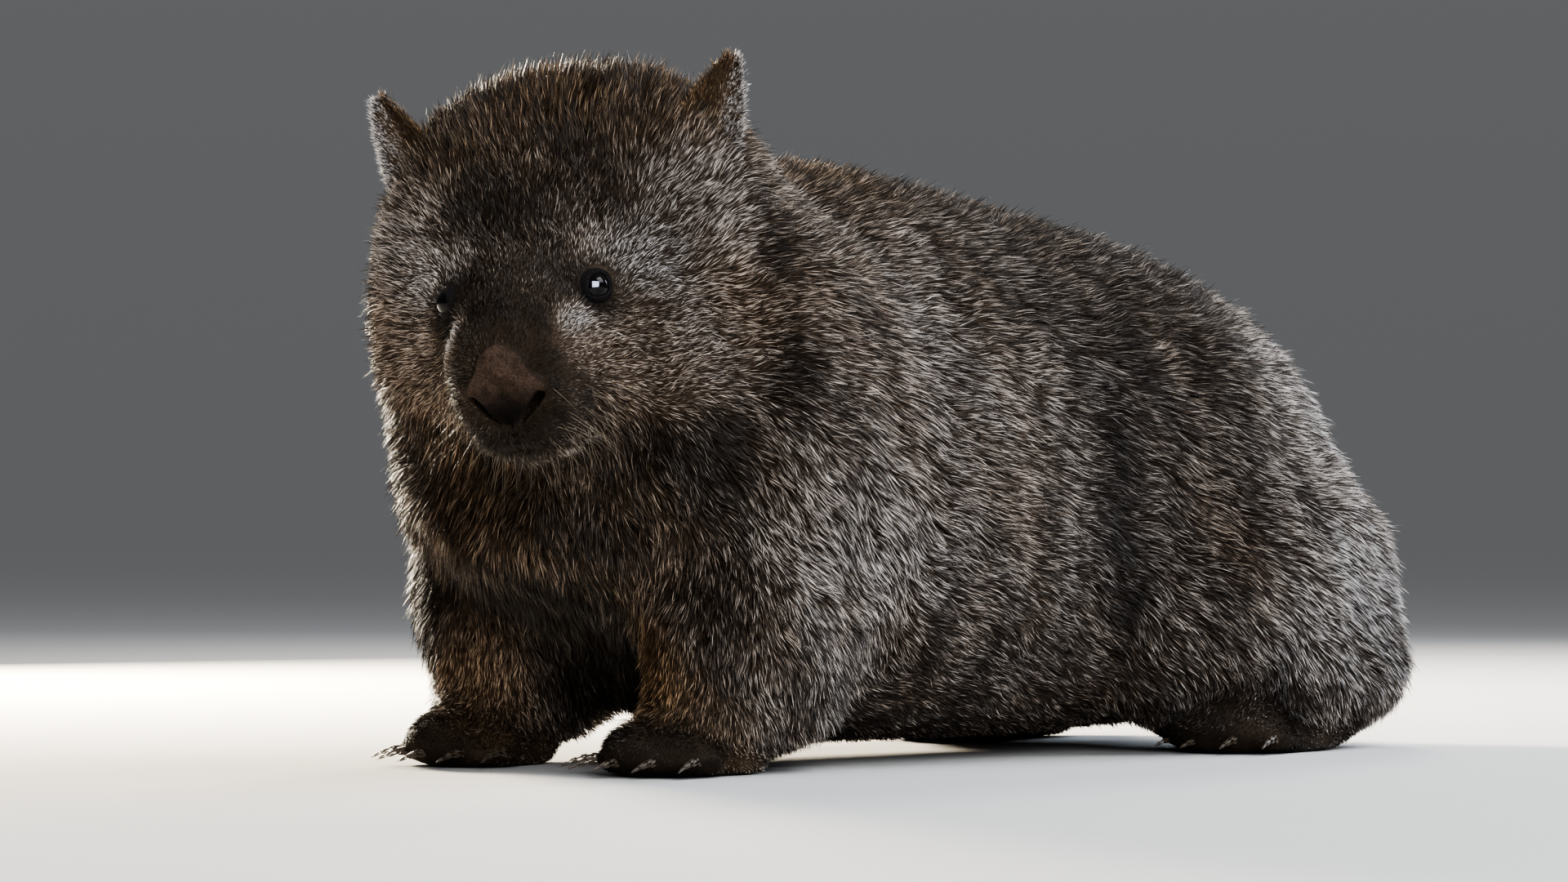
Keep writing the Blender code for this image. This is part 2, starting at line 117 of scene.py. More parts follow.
# %% The chart of the coat
# Place and reach in m; depth, length, width and spacing in mm; pale, warm, dark; the way the hair lies
BODY_SPOTS = {
    "withers": ((0.00, -0.12, 0.345), 0.06, 13, 19, 0.58, 1.35, 0.34, 0.75, 0.62, (0, 1, -0.1)),
    "ridge": ((0.00, 0.02, 0.335), 0.06, 13, 20, 0.60, 1.40, 0.26, 0.55, 0.74, (0, 1, 0)),
    "loins": ((0.00, 0.16, 0.310), 0.06, 13, 20, 0.60, 1.40, 0.20, 0.45, 0.84, (0, 1, 0)),
    "rump_top": ((0.00, 0.30, 0.240), 0.06, 13, 19, 0.60, 1.40, 0.34, 0.25, 0.68, (0, 1, -0.5)),
    "rump_end": ((0.00, 0.37, 0.140), 0.05, 11, 18, 0.60, 1.40, 0.50, 0.12, 0.55, (0.1, 0.4, -1)),
    "rump_side": ((0.10, 0.31, 0.200), 0.06, 12, 19, 0.60, 1.40, 0.68, 0.06, 0.42, (0.1, 1, -0.7)),
    "upper_flank": ((0.11, -0.02, 0.290), 0.035, 13, 19, 0.58, 1.35, 0.36, 0.40, 0.68, (0.1, 1, -0.25)),
    "high_loins": ((0.115, 0.10, 0.260), 0.045, 13, 19, 0.58, 1.35, 0.28, 0.40, 0.76, (0.1, 1, -0.25)),
    "high_shoulder": ((0.125, -0.10, 0.275), 0.030, 13, 18, 0.56, 1.30, 0.54, 0.30, 0.50, (0.1, 1, -0.3)),
    "flank": ((0.150, -0.04, 0.180), 0.05, 12, 18, 0.58, 1.35, 0.52, 0.32, 0.52, (0, 1, -0.45)),
    # Painted shade: the hollow before the thigh is darker and less pale where the haunch's shade falls
    "fold_painted_shade_high": ((0.15, 0.045, 0.205), 0.026, 12, 18, 0.58, 1.35, 0.32, 0.20, 0.78, (0, 1, -0.5)),
    "fold_painted_shade_middle": ((0.155, 0.055, 0.155), 0.028, 12, 18, 0.58, 1.35, 0.25, 0.20, 0.90, (0, 1, -0.5)),
    "fold_painted_shade_low": ((0.15, 0.065, 0.100), 0.030, 12, 18, 0.58, 1.35, 0.25, 0.25, 0.90, (0, 1, -0.5)),
    "haunch": ((0.150, 0.13, 0.130), 0.06, 12, 18, 0.60, 1.40, 0.44, 0.32, 0.62, (0, 0.8, -0.8)),
    "haunch_back": ((0.160, 0.24, 0.100), 0.05, 12, 18, 0.60, 1.40, 0.76, 0.05, 0.35, (0, 0.6, -0.9)),
    "low_flank": ((0.14, 0.02, 0.060), 0.05, 10, 17, 0.58, 1.40, 0.45, 0.30, 0.60, (0, 1, -0.6)),
    "shoulder": ((0.145, -0.14, 0.235), 0.04, 12, 18, 0.56, 1.30, 0.54, 0.32, 0.48, (0.1, 0.8, -0.6)),
    "upper_arm": ((0.152, -0.18, 0.140), 0.045, 11, 17, 0.54, 1.30, 0.72, 0.16, 0.34, (0, 0.5, -1)),
    "elbow": ((0.140, -0.18, 0.055), 0.035, 9, 15, 0.52, 1.25, 0.50, 0.32, 0.55, (0, 0.3, -1)),
    "arm_front": ((0.125, -0.25, 0.090), 0.028, 9, 15, 0.50, 1.20, 0.36, 0.50, 0.72, (0, 0.1, -1)),
    "belly": ((0.00, 0.05, 0.005), 0.10, 5, 13, 0.62, 1.60, 0.30, 0.40, 0.65, (0, 1, 0)),
    "chest": ((0.00, -0.31, 0.150), 0.06, 14, 22, 0.52, 1.28, 0.28, 0.85, 0.62, (0, 0.1, -1)),
    # Low on the chest between the forelegs: partly dark hair, partly painted shade where the chest overhangs
    "chest_low_dark_and_painted_shade": ((0.00, -0.26, 0.080), 0.045, 9, 16, 0.54, 1.35, 0.06, 0.50, 1.00, (0, 0.5, -1)),
    "chest_side": ((0.09, -0.29, 0.140), 0.035, 12, 19, 0.52, 1.28, 0.34, 0.62, 0.68, (0.2, 0.4, -1)),
    "forearm": ((0.072, -0.255, 0.055), 0.026, 8, 14, 0.44, 1.10, 0.55, 0.95, 0.38, (0, 0, -1)),
    "wrist": ((0.085, -0.235, 0.024), 0.022, 4, 9, 0.42, 1.05, 0.40, 0.60, 0.60, (0, -0.4, -1)),
    "forefoot": ((0.078, -0.282, 0.010), 0.020, 1.2, 3.6, 0.34, 0.85, 0.05, 0.30, 0.95, (0, -1, -0.3)),
    "forefoot_side": ((0.115, -0.262, 0.010), 0.016, 1.4, 4, 0.34, 0.90, 0.10, 0.30, 0.90, (0.4, -1, -0.3)),
    "thigh_low": ((0.14, 0.26, 0.040), 0.04, 8, 14, 0.56, 1.35, 0.45, 0.20, 0.55, (0, 0.3, -1)),
    "hindfoot": ((0.12, 0.17, 0.010), 0.034, 1.4, 5, 0.38, 0.95, 0.10, 0.30, 0.90, (0, -1, -0.3)),
    "heel": ((0.12, 0.24, 0.012), 0.030, 3, 7, 0.50, 1.25, 0.20, 0.30, 0.80, (0, 0.2, -1)),
    "tail": ((0.00, 0.392, 0.085), 0.018, 2.5, 8, 0.46, 1.10, 0.20, 0.30, 0.70, (0, 0.6, -1)),
}
# The same in the head's own axes
HEAD_SPOTS = {
    "muzzle_top": ((0.045, 0.000, -0.006), 0.014, 1.6, 3.6, 0.30, 0.80, 0.08, 0.50, 0.80, (-1, 0, 0.4)),
    "muzzle_side": ((0.047, 0.028, -0.043), 0.013, 1.8, 4.0, 0.31, 0.80, 0.10, 0.45, 0.82, (-0.8, 0.6, -0.1)),
    # Near black under the nose pad: partly the muzzle's own dark velvet, partly painted shade under the pad
    "lip": ((0.048, 0.012, -0.062), 0.012, 1.6, 3.6, 0.30, 0.80, 0.06, 0.30, 0.95, (-0.3, 0.7, -0.7)),
    "muzzle_pale": ((0.030, 0.0375, -0.028), 0.010, 2.6, 6.0, 0.33, 0.85, 0.55, 0.45, 0.50, (-0.8, 0.6, 0)),
    "lip_edge": ((0.032, 0.022, -0.074), 0.011, 2.6, 8.0, 0.33, 0.85, 0.48, 0.45, 0.60, (-0.2, 0.5, -1)),
    "chin": ((0.040, 0.000, -0.084), 0.014, 2.6, 9.0, 0.33, 0.90, 0.30, 0.40, 0.80, (0.1, 0, -1)),
    "bridge": ((0.015, 0.000, 0.012), 0.018, 2.2, 6.5, 0.35, 0.85, 0.14, 0.50, 0.78, (-1, 0, 0.7)),
    "bridge_side": ((0.008, 0.020, 0.006), 0.010, 2.2, 6.5, 0.35, 0.85, 0.16, 0.45, 0.76, (-1, 0.2, 0.6)),
    "eye": ((-0.004, 0.041, -0.003), 0.0095, 2.0, 3.6, 0.30, 0.80, 0.10, 0.25, 0.95, (-0.7, 0.7, 0.1)),
    "tear_patch": ((0.0265, 0.0325, -0.0155), 0.0065, 3, 6, 0.33, 0.80, 1.00, 0.00, 0.05, (-0.8, 0.5, 0.3)),
    "brow_pale": ((-0.018, 0.036, 0.021), 0.007, 3.6, 7.0, 0.35, 0.85, 0.74, 0.15, 0.30, (-0.8, 0.2, 0.9)),
    "brow": ((-0.028, 0.030, 0.034), 0.020, 5.0, 8.5, 0.38, 0.95, 0.28, 0.40, 0.68, (-0.7, 0.2, 0.9)),
    "forehead": ((-0.045, 0.000, 0.050), 0.030, 7.5, 11.0, 0.42, 1.05, 0.24, 0.50, 0.72, (-0.8, 0, 0.8)),
    "cheek_front": ((-0.01, 0.07, -0.045), 0.025, 6.5, 9.5, 0.40, 1.00, 0.58, 0.40, 0.38, (-0.6, 0.8, -0.1)),
    "cheek": ((-0.050, 0.108, -0.040), 0.026, 10.0, 13, 0.46, 1.10, 0.52, 0.52, 0.38, (-0.6, 0.7, -0.3)),
    "temple": ((-0.060, 0.090, 0.020), 0.028, 8.5, 12.5, 0.45, 1.08, 0.62, 0.20, 0.40, (-0.8, 0.5, 0.3)),
    "eye_side": ((-0.022, 0.058, 0.010), 0.016, 4.5, 7.5, 0.38, 0.95, 0.85, 0.02, 0.20, (-0.7, 0.7, 0.2)),
    "jowl": ((-0.080, 0.100, -0.115), 0.035, 12.0, 16, 0.50, 1.20, 0.28, 0.50, 0.76, (-0.6, 0.4, -0.8)),
    # These four spots are painted shade: the coat is darker below the jaw and behind the cheek, where the
    # head overhangs the neck
    "under_cheek_painted_shade": ((-0.004, 0.072, -0.104), 0.020, 9.0, 13, 0.48, 1.15, 0.10, 0.40, 1.00, (-0.5, 0.4, -0.9)),
    "behind_cheek_painted_shade": ((-0.049, 0.124, -0.07), 0.017, 12, 17, 0.50, 1.20, 0.25, 0.35, 0.92, (-0.8, 0.4, -0.5)),
    "under_ear_painted_shade": ((-0.088, 0.122, -0.014), 0.017, 12, 17, 0.50, 1.20, 0.32, 0.40, 0.80, (-0.8, 0.4, -0.4)),
    "under_jaw_painted_shade": ((0.000, 0.000, -0.105), 0.030, 6.0, 11, 0.46, 1.15, 0.20, 0.60, 0.92, (-0.7, 0, -0.7)),
    # The crown's strong warm is partly the hair's own reddish brown, partly a painted warm glow of backlight
    "crown": ((-0.105, 0.000, 0.090), 0.040, 13.0, 19.0, 0.48, 1.15, 0.16, 0.95, 0.62, (-0.6, 0, 0.8)),
    "crown_side": ((-0.105, 0.065, 0.080), 0.030, 12.0, 17.0, 0.48, 1.15, 0.24, 0.75, 0.64, (-0.6, 0.3, 0.7)),
    "nape": ((-0.165, 0.000, 0.070), 0.045, 13.0, 19.0, 0.55, 1.25, 0.18, 0.90, 0.62, (-1, 0, -0.1)),
    "neck_side": ((-0.150, 0.120, -0.020), 0.045, 12, 18, 0.54, 1.25, 0.42, 0.45, 0.62, (-0.8, 0.4, -0.5)),
}
CHART_NAMES = ("depth", "length", "width", "spacing", "pale", "warm", "dark")
MM = 0.001

def chart_spots():
    """Places, reaches, values and ways of all spots, with each one's twin on the other side of the body."""
    places, reaches, values, ways = [], [], [], []
    for spots, on_head in ((BODY_SPOTS, False), (HEAD_SPOTS, True)):
        flip = np.array((1, -1, 1)) if on_head else np.array((-1, 1, 1))
        for place, reach, *worth, way in spots.values():
            middle = place[1 if on_head else 0] == 0
            for mirror in (np.ones(3),) if middle else (np.ones(3), flip):
                spot, lie = np.array(place) * mirror, np.array(way) * mirror
                places.append(from_head(spot) if on_head else spot)
                ways.append(lie @ AXES if on_head else lie)
                reaches.append(reach)
                values.append([w * MM for w in worth[:4]] + worth[4:])
    return np.array(places), np.array(reaches), np.array(values), np.array(ways)

SPOT_PLACES, SPOT_REACHES, SPOT_VALUES, SPOT_WAYS = chart_spots()

def read_chart(points):
    """The chart's values at points, and the way the hair lies: near spots count most, by a soft bell."""
    worth = np.hstack((SPOT_VALUES, SPOT_WAYS))
    total = np.zeros((len(points), worth.shape[1]))
    weights = np.zeros(len(points))
    for place, reach, values in zip(SPOT_PLACES, SPOT_REACHES, worth):
        nearness = np.linalg.norm(points - place, axis=1) / reach
        weight = np.exp(-nearness**2) + 0.0005 / (1 + nearness**4)
        total += weight[:, None] * values
        weights += weight
    total /= weights[:, None]
    found = dict(zip(CHART_NAMES, total.T))
    found["way"] = total[:, len(CHART_NAMES):]
    return found

print("coat spots", len(SPOT_PLACES))

# %% [markdown]
# Nothing random is needed for the soft unevenness of a living surface. A few crossed sine waves of unlike
# length and direction make a smooth field that never repeats over the animal, and it is the same each run.

# %% Soft waves and soft steps
def waves(points, size, seed):
    """A smooth field between about -1 and 1, whose swells are about size across."""
    pick = np.random.default_rng(seed)
    field = np.zeros(len(points))
    for _ in range(6):
        way = pick.normal(size=3)
        way *= 2 * pi / (size * np.linalg.norm(way)) * pick.uniform(0.6, 1.4)
        field += np.sin(points @ way + pick.uniform(0, 2 * pi))
    return field / 3

def soft_step(values, start, end):
    """0 before start, 1 after end, and smooth between them; start may be the larger one."""
    share = np.clip((values - start) / (end - start), 0, 1)
    return share * share * (3 - 2 * share)

def unit(vectors):
    return vectors / np.maximum(np.linalg.norm(vectors, axis=-1, keepdims=True), 1e-9)

# %% [markdown]
# The skin is one continuous surface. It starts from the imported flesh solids, swollen a hair's breadth so
# that their thin cuts close, fused on a voxel grid and smoothed, firmly on the trunk and lightly on the
# face and feet. Sculpting by hand would be the other way, but this keeps the skin true to the solids.

# %% Small mesh tools
def mesh_object(name, mesh):
    made = bpy.data.objects.new(name, mesh)
    bpy.context.scene.collection.objects.link(made)
    return made

def applied(thing):
    """The object's mesh with its modifiers applied; the object itself goes."""
    bpy.context.view_layer.update()
    mesh = bpy.data.meshes.new_from_object(thing.evaluated_get(bpy.context.evaluated_depsgraph_get()))
    bpy.data.objects.remove(thing)
    return mesh

def read_points(mesh, what="co"):
    flat = np.empty(len(mesh.vertices) * 3)
    mesh.vertices.foreach_get(what, flat)
    return flat.reshape(-1, 3)

def read_normals(mesh):
    return read_points(mesh, "normal")

def write_points(mesh, points):
    mesh.vertices.foreach_set("co", points.ravel())
    mesh.update()

def smoothed(mesh, strength, passes):
    """That mesh smoothed, each point as strongly as strength says."""
    holder = mesh_object("smoothing", mesh)
    group = holder.vertex_groups.new(name="strength")
    for index, weight in enumerate(strength.tolist()):
        group.add([index], weight, "REPLACE")
    smooth = holder.modifiers.new("smooth", "SMOOTH")
    smooth.factor = 0.5
    smooth.iterations = passes
    smooth.vertex_group = group.name
    return applied(holder)

# %% Fuse the flesh into one skin
FUSE_SIZE = 0.004
CUT_CLOSING = 0.0004
FLESH = [name for name in frame["nodes"] if not name.startswith(("claw", "eye", "ear"))]
EARS = ["ear_left", "ear_right"]
NOSE_TIP = np.array((0.060, 0.000, -0.032))

def fused_flesh():
    work = bmesh.new()
    for name in FLESH + ["eye_left", "eye_right"]:
        piece = frame["nodes"][name].data.copy()
        write_points(piece, read_points(piece) + read_normals(piece) * CUT_CLOSING)
        work.from_mesh(piece)
    heap = bpy.data.meshes.new("heap")
    work.to_mesh(heap)
    work.free()
    holder = mesh_object("heap", heap)
    fuse = holder.modifiers.new("fuse", "REMESH")
    fuse.mode = "VOXEL"
    fuse.voxel_size = FUSE_SIZE
    return applied(holder)

def plainness(points):
    """1 on the broad trunk, little on the face, the feet and the tail, where small forms must stay."""
    at = to_head(points)
    keep = soft_step(np.linalg.norm(at - NOSE_TIP, axis=1), 0.09, 0.17) * soft_step(points[:, 2], 0.02, 0.07)
    keep *= soft_step(np.linalg.norm(points - middle_of("tail"), axis=1), 0.02, 0.05)
    least = 0.04 + 0.10 * soft_step(np.linalg.norm(at - NOSE_TIP, axis=1), 0.02, 0.05)
    return np.maximum(keep, least)

skin_mesh = fused_flesh()
skin_mesh = smoothed(skin_mesh, plainness(read_points(skin_mesh)), 50)
print("fused skin faces", len(skin_mesh.polygons))

# %% [markdown]
# The coat lies between the solids' surface and the skin, so the skin sinks by the chart's depth along its
# own normals. Under the soles it doesn't sink at all: a wombat stands on bare pads.

# %% Sink the skin by the depth of the coat
def coat_depth(points):
    return read_chart(points)["depth"] * soft_step(points[:, 2], 0.0005, 0.012)

points = read_points(skin_mesh)
depth = coat_depth(points)
write_points(skin_mesh, points - read_normals(skin_mesh) * depth[:, None])
print("coat depth up to", round(depth.max() * 1000, 1), "mm")

# %% [markdown]
# A face needs a finer mesh than a flank. The faces round the muzzle are split twice and those round the
# eyes three times, and a light smoothing takes away the steps of the voxel grid. A real sculptor works
# the same way: the big masses first, small tools only where small forms are.

# %% Finer faces on the muzzle, at the eyes and on the feet
def split_near(mesh, near):
    """Splits the edges of every face whose middle near() picks."""
    work = bmesh.new()
    work.from_mesh(mesh)
    faces = list(work.faces)
    picked = near(np.array([face.calc_center_median() for face in faces]))
    edges = {edge for face, take in zip(faces, picked) if take for edge in face.edges}
    bmesh.ops.subdivide_edges(work, edges=list(edges), cuts=1, use_grid_fill=True)
    work.to_mesh(mesh)
    work.free()

def eye_distance(points):
    return np.minimum(*(np.linalg.norm(points - eyes[side], axis=1) for side in ("left", "right")))

def on_muzzle(points):
    return np.linalg.norm(to_head(points) - (NOSE_TIP - (0.012, 0, 0.016)), axis=1) < 0.050

def on_nose(points):
    return np.linalg.norm(to_head(points) - (NOSE_TIP - (0.004, 0, 0.004)), axis=1) < 0.031

def on_foot(points):
    return (points[:, 2] < 0.034) & (np.abs(points[:, 0]) > 0.03) & (np.abs(points[:, 0]) < 0.17) & (
        ((points[:, 1] < -0.19) & (points[:, 1] > -0.32)) | ((points[:, 1] < 0.26) & (points[:, 1] > 0.11)))

split_near(skin_mesh, lambda p: (eye_distance(p) < 0.030) | on_muzzle(p) | on_foot(p))
split_near(skin_mesh, lambda p: (eye_distance(p) < 0.024) | on_muzzle(p))
split_near(skin_mesh, lambda p: (eye_distance(p) < 0.018) | on_nose(p))
points = read_points(skin_mesh)
fine = (eye_distance(points) < 0.032) | on_muzzle(points) | on_foot(points)
skin_mesh = smoothed(skin_mesh, fine * 0.8, 14)
print("skin faces", len(skin_mesh.polygons))

# %% [markdown]
# The nose pad is a heart of bare leather: a round top, wings over the nostrils, and a point above the
# split lip. Its outline is a half width for each height in the head's own axes, and it stands up level with
# the tips of the fur round it. The nostrils are comma-shaped pits under a raised wing; below them come the
# groove of the split lip, its two soft lobes and the line of the mouth. Each form is a distance from a line
# or a point, turned into a push along the skin's normal.

# %% Nose and mouth
PAD_HEIGHTS = np.array((-55, -53.5, -50, -46, -42, -39, -36, -33.5, -31, -27.5, -23, -19, -16, -13, -11)) * MM
PAD_HALF_WIDTHS = np.array((0, 3.5, 7, 11, 15.5, 20, 22.8, 22.5, 19.5, 16, 13.5, 12, 9.8, 5.8, 0)) * MM
PAD_BACK = 0.040
NOSTRIL = np.array(((0.0178, -0.0400), (0.0145, -0.0440), (0.0108, -0.0485), (0.0060, -0.0535)))
NOSTRIL_HALF_WIDTH = (0.0031, 0.0027, 0.0017, 0.0007)
NOSTRIL_DEPTH = (0.0075, 0.0080, 0.0050, 0.0020)
WING = (0.0218, -0.0352)
LIP_LOBE = (0.0110, -0.0620)
LIP_SPLIT_TOP, LIP_SPLIT_FOOT = (-0.046, -0.054), (-0.073, -0.070)
NOSTRIL_CREASE = np.array(((0.0205, -0.0420), (0.0255, -0.0410), (0.0300, -0.0375)))
MOUTH_FRONT = (0.0474, -0.0710)
MOUTH_SLOPE = 0.21
MOUTH_CORNER = 0.006
# How far each form stands out or in, and how wide it is
PAD_RISE = 0.0016
DOME_RISE, DOME_REACH, DOME_HEIGHT = 0.0016, 0.011, -0.031
WING_RISE, WING_REACH = 0.0017, 0.0042
LOBE_RISE, LOBE_REACH = 0.0012, 0.0075
SPLIT_DEPTH, SPLIT_WIDTH = 0.0020, 0.0013
CREASE_DEPTH, CREASE_WIDTH = 0.0010, 0.0014
MOUTH_DEPTH, MOUTH_WIDTH = 0.0024, 0.0011
LIP_RISE, LIP_WIDTH, LIP_ABOVE = 0.0006, 0.0030, 0.004

def line_distance(flat, line):
    """Distance from flat points to a broken line, and how far along it the nearest place is, 0 to 1."""
    best, where = np.full(len(flat), 1.0), np.zeros(len(flat))
    for i, (start, end) in enumerate(zip(line, line[1:])):
        way = end - start
        share = np.clip((flat - start) @ way / (way @ way), 0, 1)
        away = np.linalg.norm(flat - start - share[:, None] * way, axis=1)
        nearer = away < best
        best = np.where(nearer, away, best)
        where = np.where(nearer, (i + share) / (len(line) - 1), where)
    return best, where

def bell(away, reach):
    return np.exp(-(away / reach) ** 2)

def pad_share(at):
    """1 on the bare nose pad and 0 where the fur starts, for points in the head's own axes."""
    width = np.interp(at[:, 2], PAD_HEIGHTS, PAD_HALF_WIDTHS, left=-0.01, right=-0.01)
    in_front = soft_step(at[:, 0], PAD_BACK, PAD_BACK + 0.008)
    return soft_step(width - np.abs(at[:, 1]), -0.0012, 0.0014) * in_front

def press_muzzle(mesh):
    points, normals = read_points(mesh), read_normals(mesh)
    at = to_head(points)
    front = soft_step(at[:, 0], 0.036, 0.046) * (np.linalg.norm(at - NOSE_TIP, axis=1) < 0.060)
    flat = np.stack((np.abs(at[:, 1]), at[:, 2]), axis=1)
    away, where = line_distance(flat, NOSTRIL)
    steps = np.linspace(0, 1, len(NOSTRIL))
    pit = soft_step(away / np.interp(where, steps, NOSTRIL_HALF_WIDTH), 1.15, 0.35)
    back = -np.interp(where, steps, NOSTRIL_DEPTH) * pit * front
    dome = np.hypot(at[:, 1], (at[:, 2] - DOME_HEIGHT) / 1.2)
    out = PAD_RISE * pad_share(at) + front * DOME_RISE * bell(dome, DOME_REACH)
    out += front * WING_RISE * bell(np.linalg.norm(flat - WING, axis=1), WING_REACH) * (1 - pit)
    out += front * LOBE_RISE * bell(np.linalg.norm(flat - LIP_LOBE, axis=1), LOBE_REACH)
    split = soft_step(at[:, 2], *LIP_SPLIT_FOOT) * soft_step(at[:, 2], *LIP_SPLIT_TOP)
    out -= front * SPLIT_DEPTH * split * bell(flat[:, 0], SPLIT_WIDTH)
    crease, _ = line_distance(flat, NOSTRIL_CREASE)
    out -= front * CREASE_DEPTH * bell(crease, CREASE_WIDTH)
    mouth = at[:, 2] - (MOUTH_FRONT[1] - (MOUTH_FRONT[0] - at[:, 0]) * MOUTH_SLOPE)
    on_mouth = soft_step(at[:, 0], MOUTH_CORNER, MOUTH_CORNER + 0.010) * (np.abs(at[:, 1]) < 0.045)
    out -= on_mouth * MOUTH_DEPTH * bell(mouth, MOUTH_WIDTH)
    out += on_mouth * LIP_RISE * bell(mouth - LIP_ABOVE, LIP_WIDTH)
    points += normals * out[:, None] + back[:, None] * AXES[0]
    write_points(mesh, points)

press_muzzle(skin_mesh)
print("nose pad", round(2000 * PAD_HALF_WIDTHS.max(), 1), "mm wide")

# %% [markdown]
# Each eye is a wet dark ball of its own, and the lids are the skin itself: it dives behind the ball inside
# the opening, rolls up over a rim, and runs out to the cheek. The opening is an almond that slants from
# the inner corner, low by the nose, up to the outer one.

# %% Lids
EYEBALL = 0.0090
EYE_SINK = 0.0004
EYE_WAY = np.array((0.571, 0.734, 0.367))
SLIT_WAY = np.array((-0.86, 0.39, 0.33))
SLIT_HALF = (0.0072, 0.0059)
LID_THICK = 0.0013
LID_RUN = 0.0095
# 2 makes the opening an ellipse, and less makes its corners sharper
OPENING_SHAPE = 1.75

def eye_axes(side):
    """Centre of the eyeball and its outward, slit and cross ways, in the head's own axes."""
    flip = np.array((1, 1 if side == "left" else -1, 1))
    way = unit(EYE_WAY) * flip
    slit = SLIT_WAY * flip
    slit = unit(slit - way * (slit @ way))
    return to_head(eyes[side][None])[0] - way * EYE_SINK, way, slit, np.cross(way, slit)

def eye_polar(at, side):
    """Height along the eye's way, distance from its middle line, and distance outside the opening's rim."""
    centre, way, slit, cross = eye_axes(side)
    offset = at - centre
    along, over = offset @ slit, offset @ cross
    round_it = np.hypot(along, over)
    turn = np.arctan2(over, along)
    ways = np.abs(np.cos(turn) / SLIT_HALF[0]), np.abs(np.sin(turn) / SLIT_HALF[1])
    rim = (ways[0] ** OPENING_SHAPE + ways[1] ** OPENING_SHAPE) ** (-1 / OPENING_SHAPE)
    return offset @ way, round_it, round_it - rim

def ball_height(round_it, radius):
    return np.sqrt(np.maximum(radius**2 - np.minimum(round_it, 0.93 * radius) ** 2, 0))

def shape_lids(mesh):
    points = read_points(mesh)
    for side in ("left", "right"):
        at = to_head(points)
        height, round_it, outside = eye_polar(at, side)
        near = (round_it < 0.022) & (height > -0.008)
        hidden = ball_height(round_it, EYEBALL) - 0.0004 - 0.0012 * soft_step(outside, 0, -0.003)
        lid = ball_height(round_it, EYEBALL + LID_THICK)
        lid -= 0.0004 * bell(outside - 0.0042, 0.0008)
        rolled = hidden + (lid - hidden) * soft_step(outside, -0.0004, 0.0012)
        blend = soft_step(outside, 0.0016, LID_RUN)
        target = rolled * (1 - blend) + height * blend
        push = np.where(near, target - height, 0)
        points += push[:, None] * (eye_axes(side)[1] @ AXES)
    write_points(mesh, points)

shape_lids(skin_mesh)
print("eye opening", [round(2000 * x, 1) for x in SLIT_HALF], "mm")

# %% [markdown]
# The ears are short, rounded, cupped leaves, thin as leather, far back on the head. Each is a closed sheet
# on the same root, tip and facing as the solid it stands for, and becomes part of the skin.

# %% Ears
EAR_BASE = (-0.114, 0.083, 0.048)
EAR_TIP = (-0.1257, 0.0997, 0.0823)
EAR_FACING = (0.92, 0.30, 0.25)
EAR_HALF_WIDTH = 0.0190
EAR_POINT = 0.84
EAR_TAPER = 1.8
EAR_ROOT = 0.020
EAR_CUP = 0.010
EAR_THICK = 0.0020
EAR_ROWS, EAR_COLUMNS = 24, 20

def ear_sheet(side):
    """Points of one ear's middle surface, row by row, and its three ways, in the head's own axes."""
    flip = np.array((1, 1 if side == "left" else -1, 1))
    base, tip, facing = (np.array(v) * flip for v in (EAR_BASE, EAR_TIP, EAR_FACING))
    along = unit(tip - base)
    facing = unit(facing - along * (facing @ along))
    across = np.cross(along, facing)
    start = base - along * EAR_ROOT
    length = np.linalg.norm(tip - start)
    rows = []
    for rise in np.linspace(0, 1, EAR_ROWS):
        half = EAR_HALF_WIDTH * (1 - EAR_POINT * rise**EAR_TAPER)
        share = np.linspace(-1, 1, EAR_COLUMNS)[:, None]
        curl = EAR_CUP * share**2 * (1 - 0.5 * rise)
        rows.append(start + along * length * rise + across * half * share + facing * curl)
    return np.array(rows), along, across, facing

def ear_faces(side):
    """A closed thin leaf: front and back sheets, joined round the edge."""
    sheet, _, _, facing = ear_sheet(side)
    edge = np.zeros((EAR_ROWS, EAR_COLUMNS))
    edge[0], edge[-1], edge[:, 0], edge[:, -1] = 0, 1, 1, 1
    thin = np.where(edge > 0, 0.25, 1.0)[..., None] * EAR_THICK / 2
    points = np.concatenate(((sheet + facing * thin).reshape(-1, 3), (sheet - facing * thin).reshape(-1, 3)))
    count, faces = EAR_ROWS * EAR_COLUMNS, []
    for row in range(EAR_ROWS - 1):
        for column in range(EAR_COLUMNS - 1):
            a = row * EAR_COLUMNS + column
            b, c, d = a + 1, a + EAR_COLUMNS + 1, a + EAR_COLUMNS
            faces += [(a, b, c, d), (count + d, count + c, count + b, count + a)]
    ring = list(range(EAR_COLUMNS))
    ring += [r * EAR_COLUMNS + EAR_COLUMNS - 1 for r in range(1, EAR_ROWS)]
    ring += [(EAR_ROWS - 1) * EAR_COLUMNS + c for c in range(EAR_COLUMNS - 2, -1, -1)]
    ring += [r * EAR_COLUMNS for r in range(EAR_ROWS - 2, 0, -1)]
    faces += [(b, a, count + a, count + b) for a, b in zip(ring, ring[1:] + ring[:1])]
    return from_head(points), faces

def add_ears(mesh):
    work = bmesh.new()
    work.from_mesh(mesh)
    for side in ("left", "right"):
        points, faces = ear_faces(side)
        verts = [work.verts.new(p) for p in points]
        made = [work.faces.new([verts[i] for i in face]) for face in faces]
        bmesh.ops.recalc_face_normals(work, faces=made)
    work.to_mesh(mesh)
    work.free()

body_count = len(skin_mesh.vertices)
add_ears(skin_mesh)
print("ear points", len(skin_mesh.vertices) - body_count)

# %% [markdown]
# Skin and coat must agree, so the marks on both come from the same functions: the chart's pale, warm and
# dark, broken up by soft waves as real coats are, and a bare mask for leather, lid rims and soles. They are
# stored on the mesh as named attributes, which a shader can read.

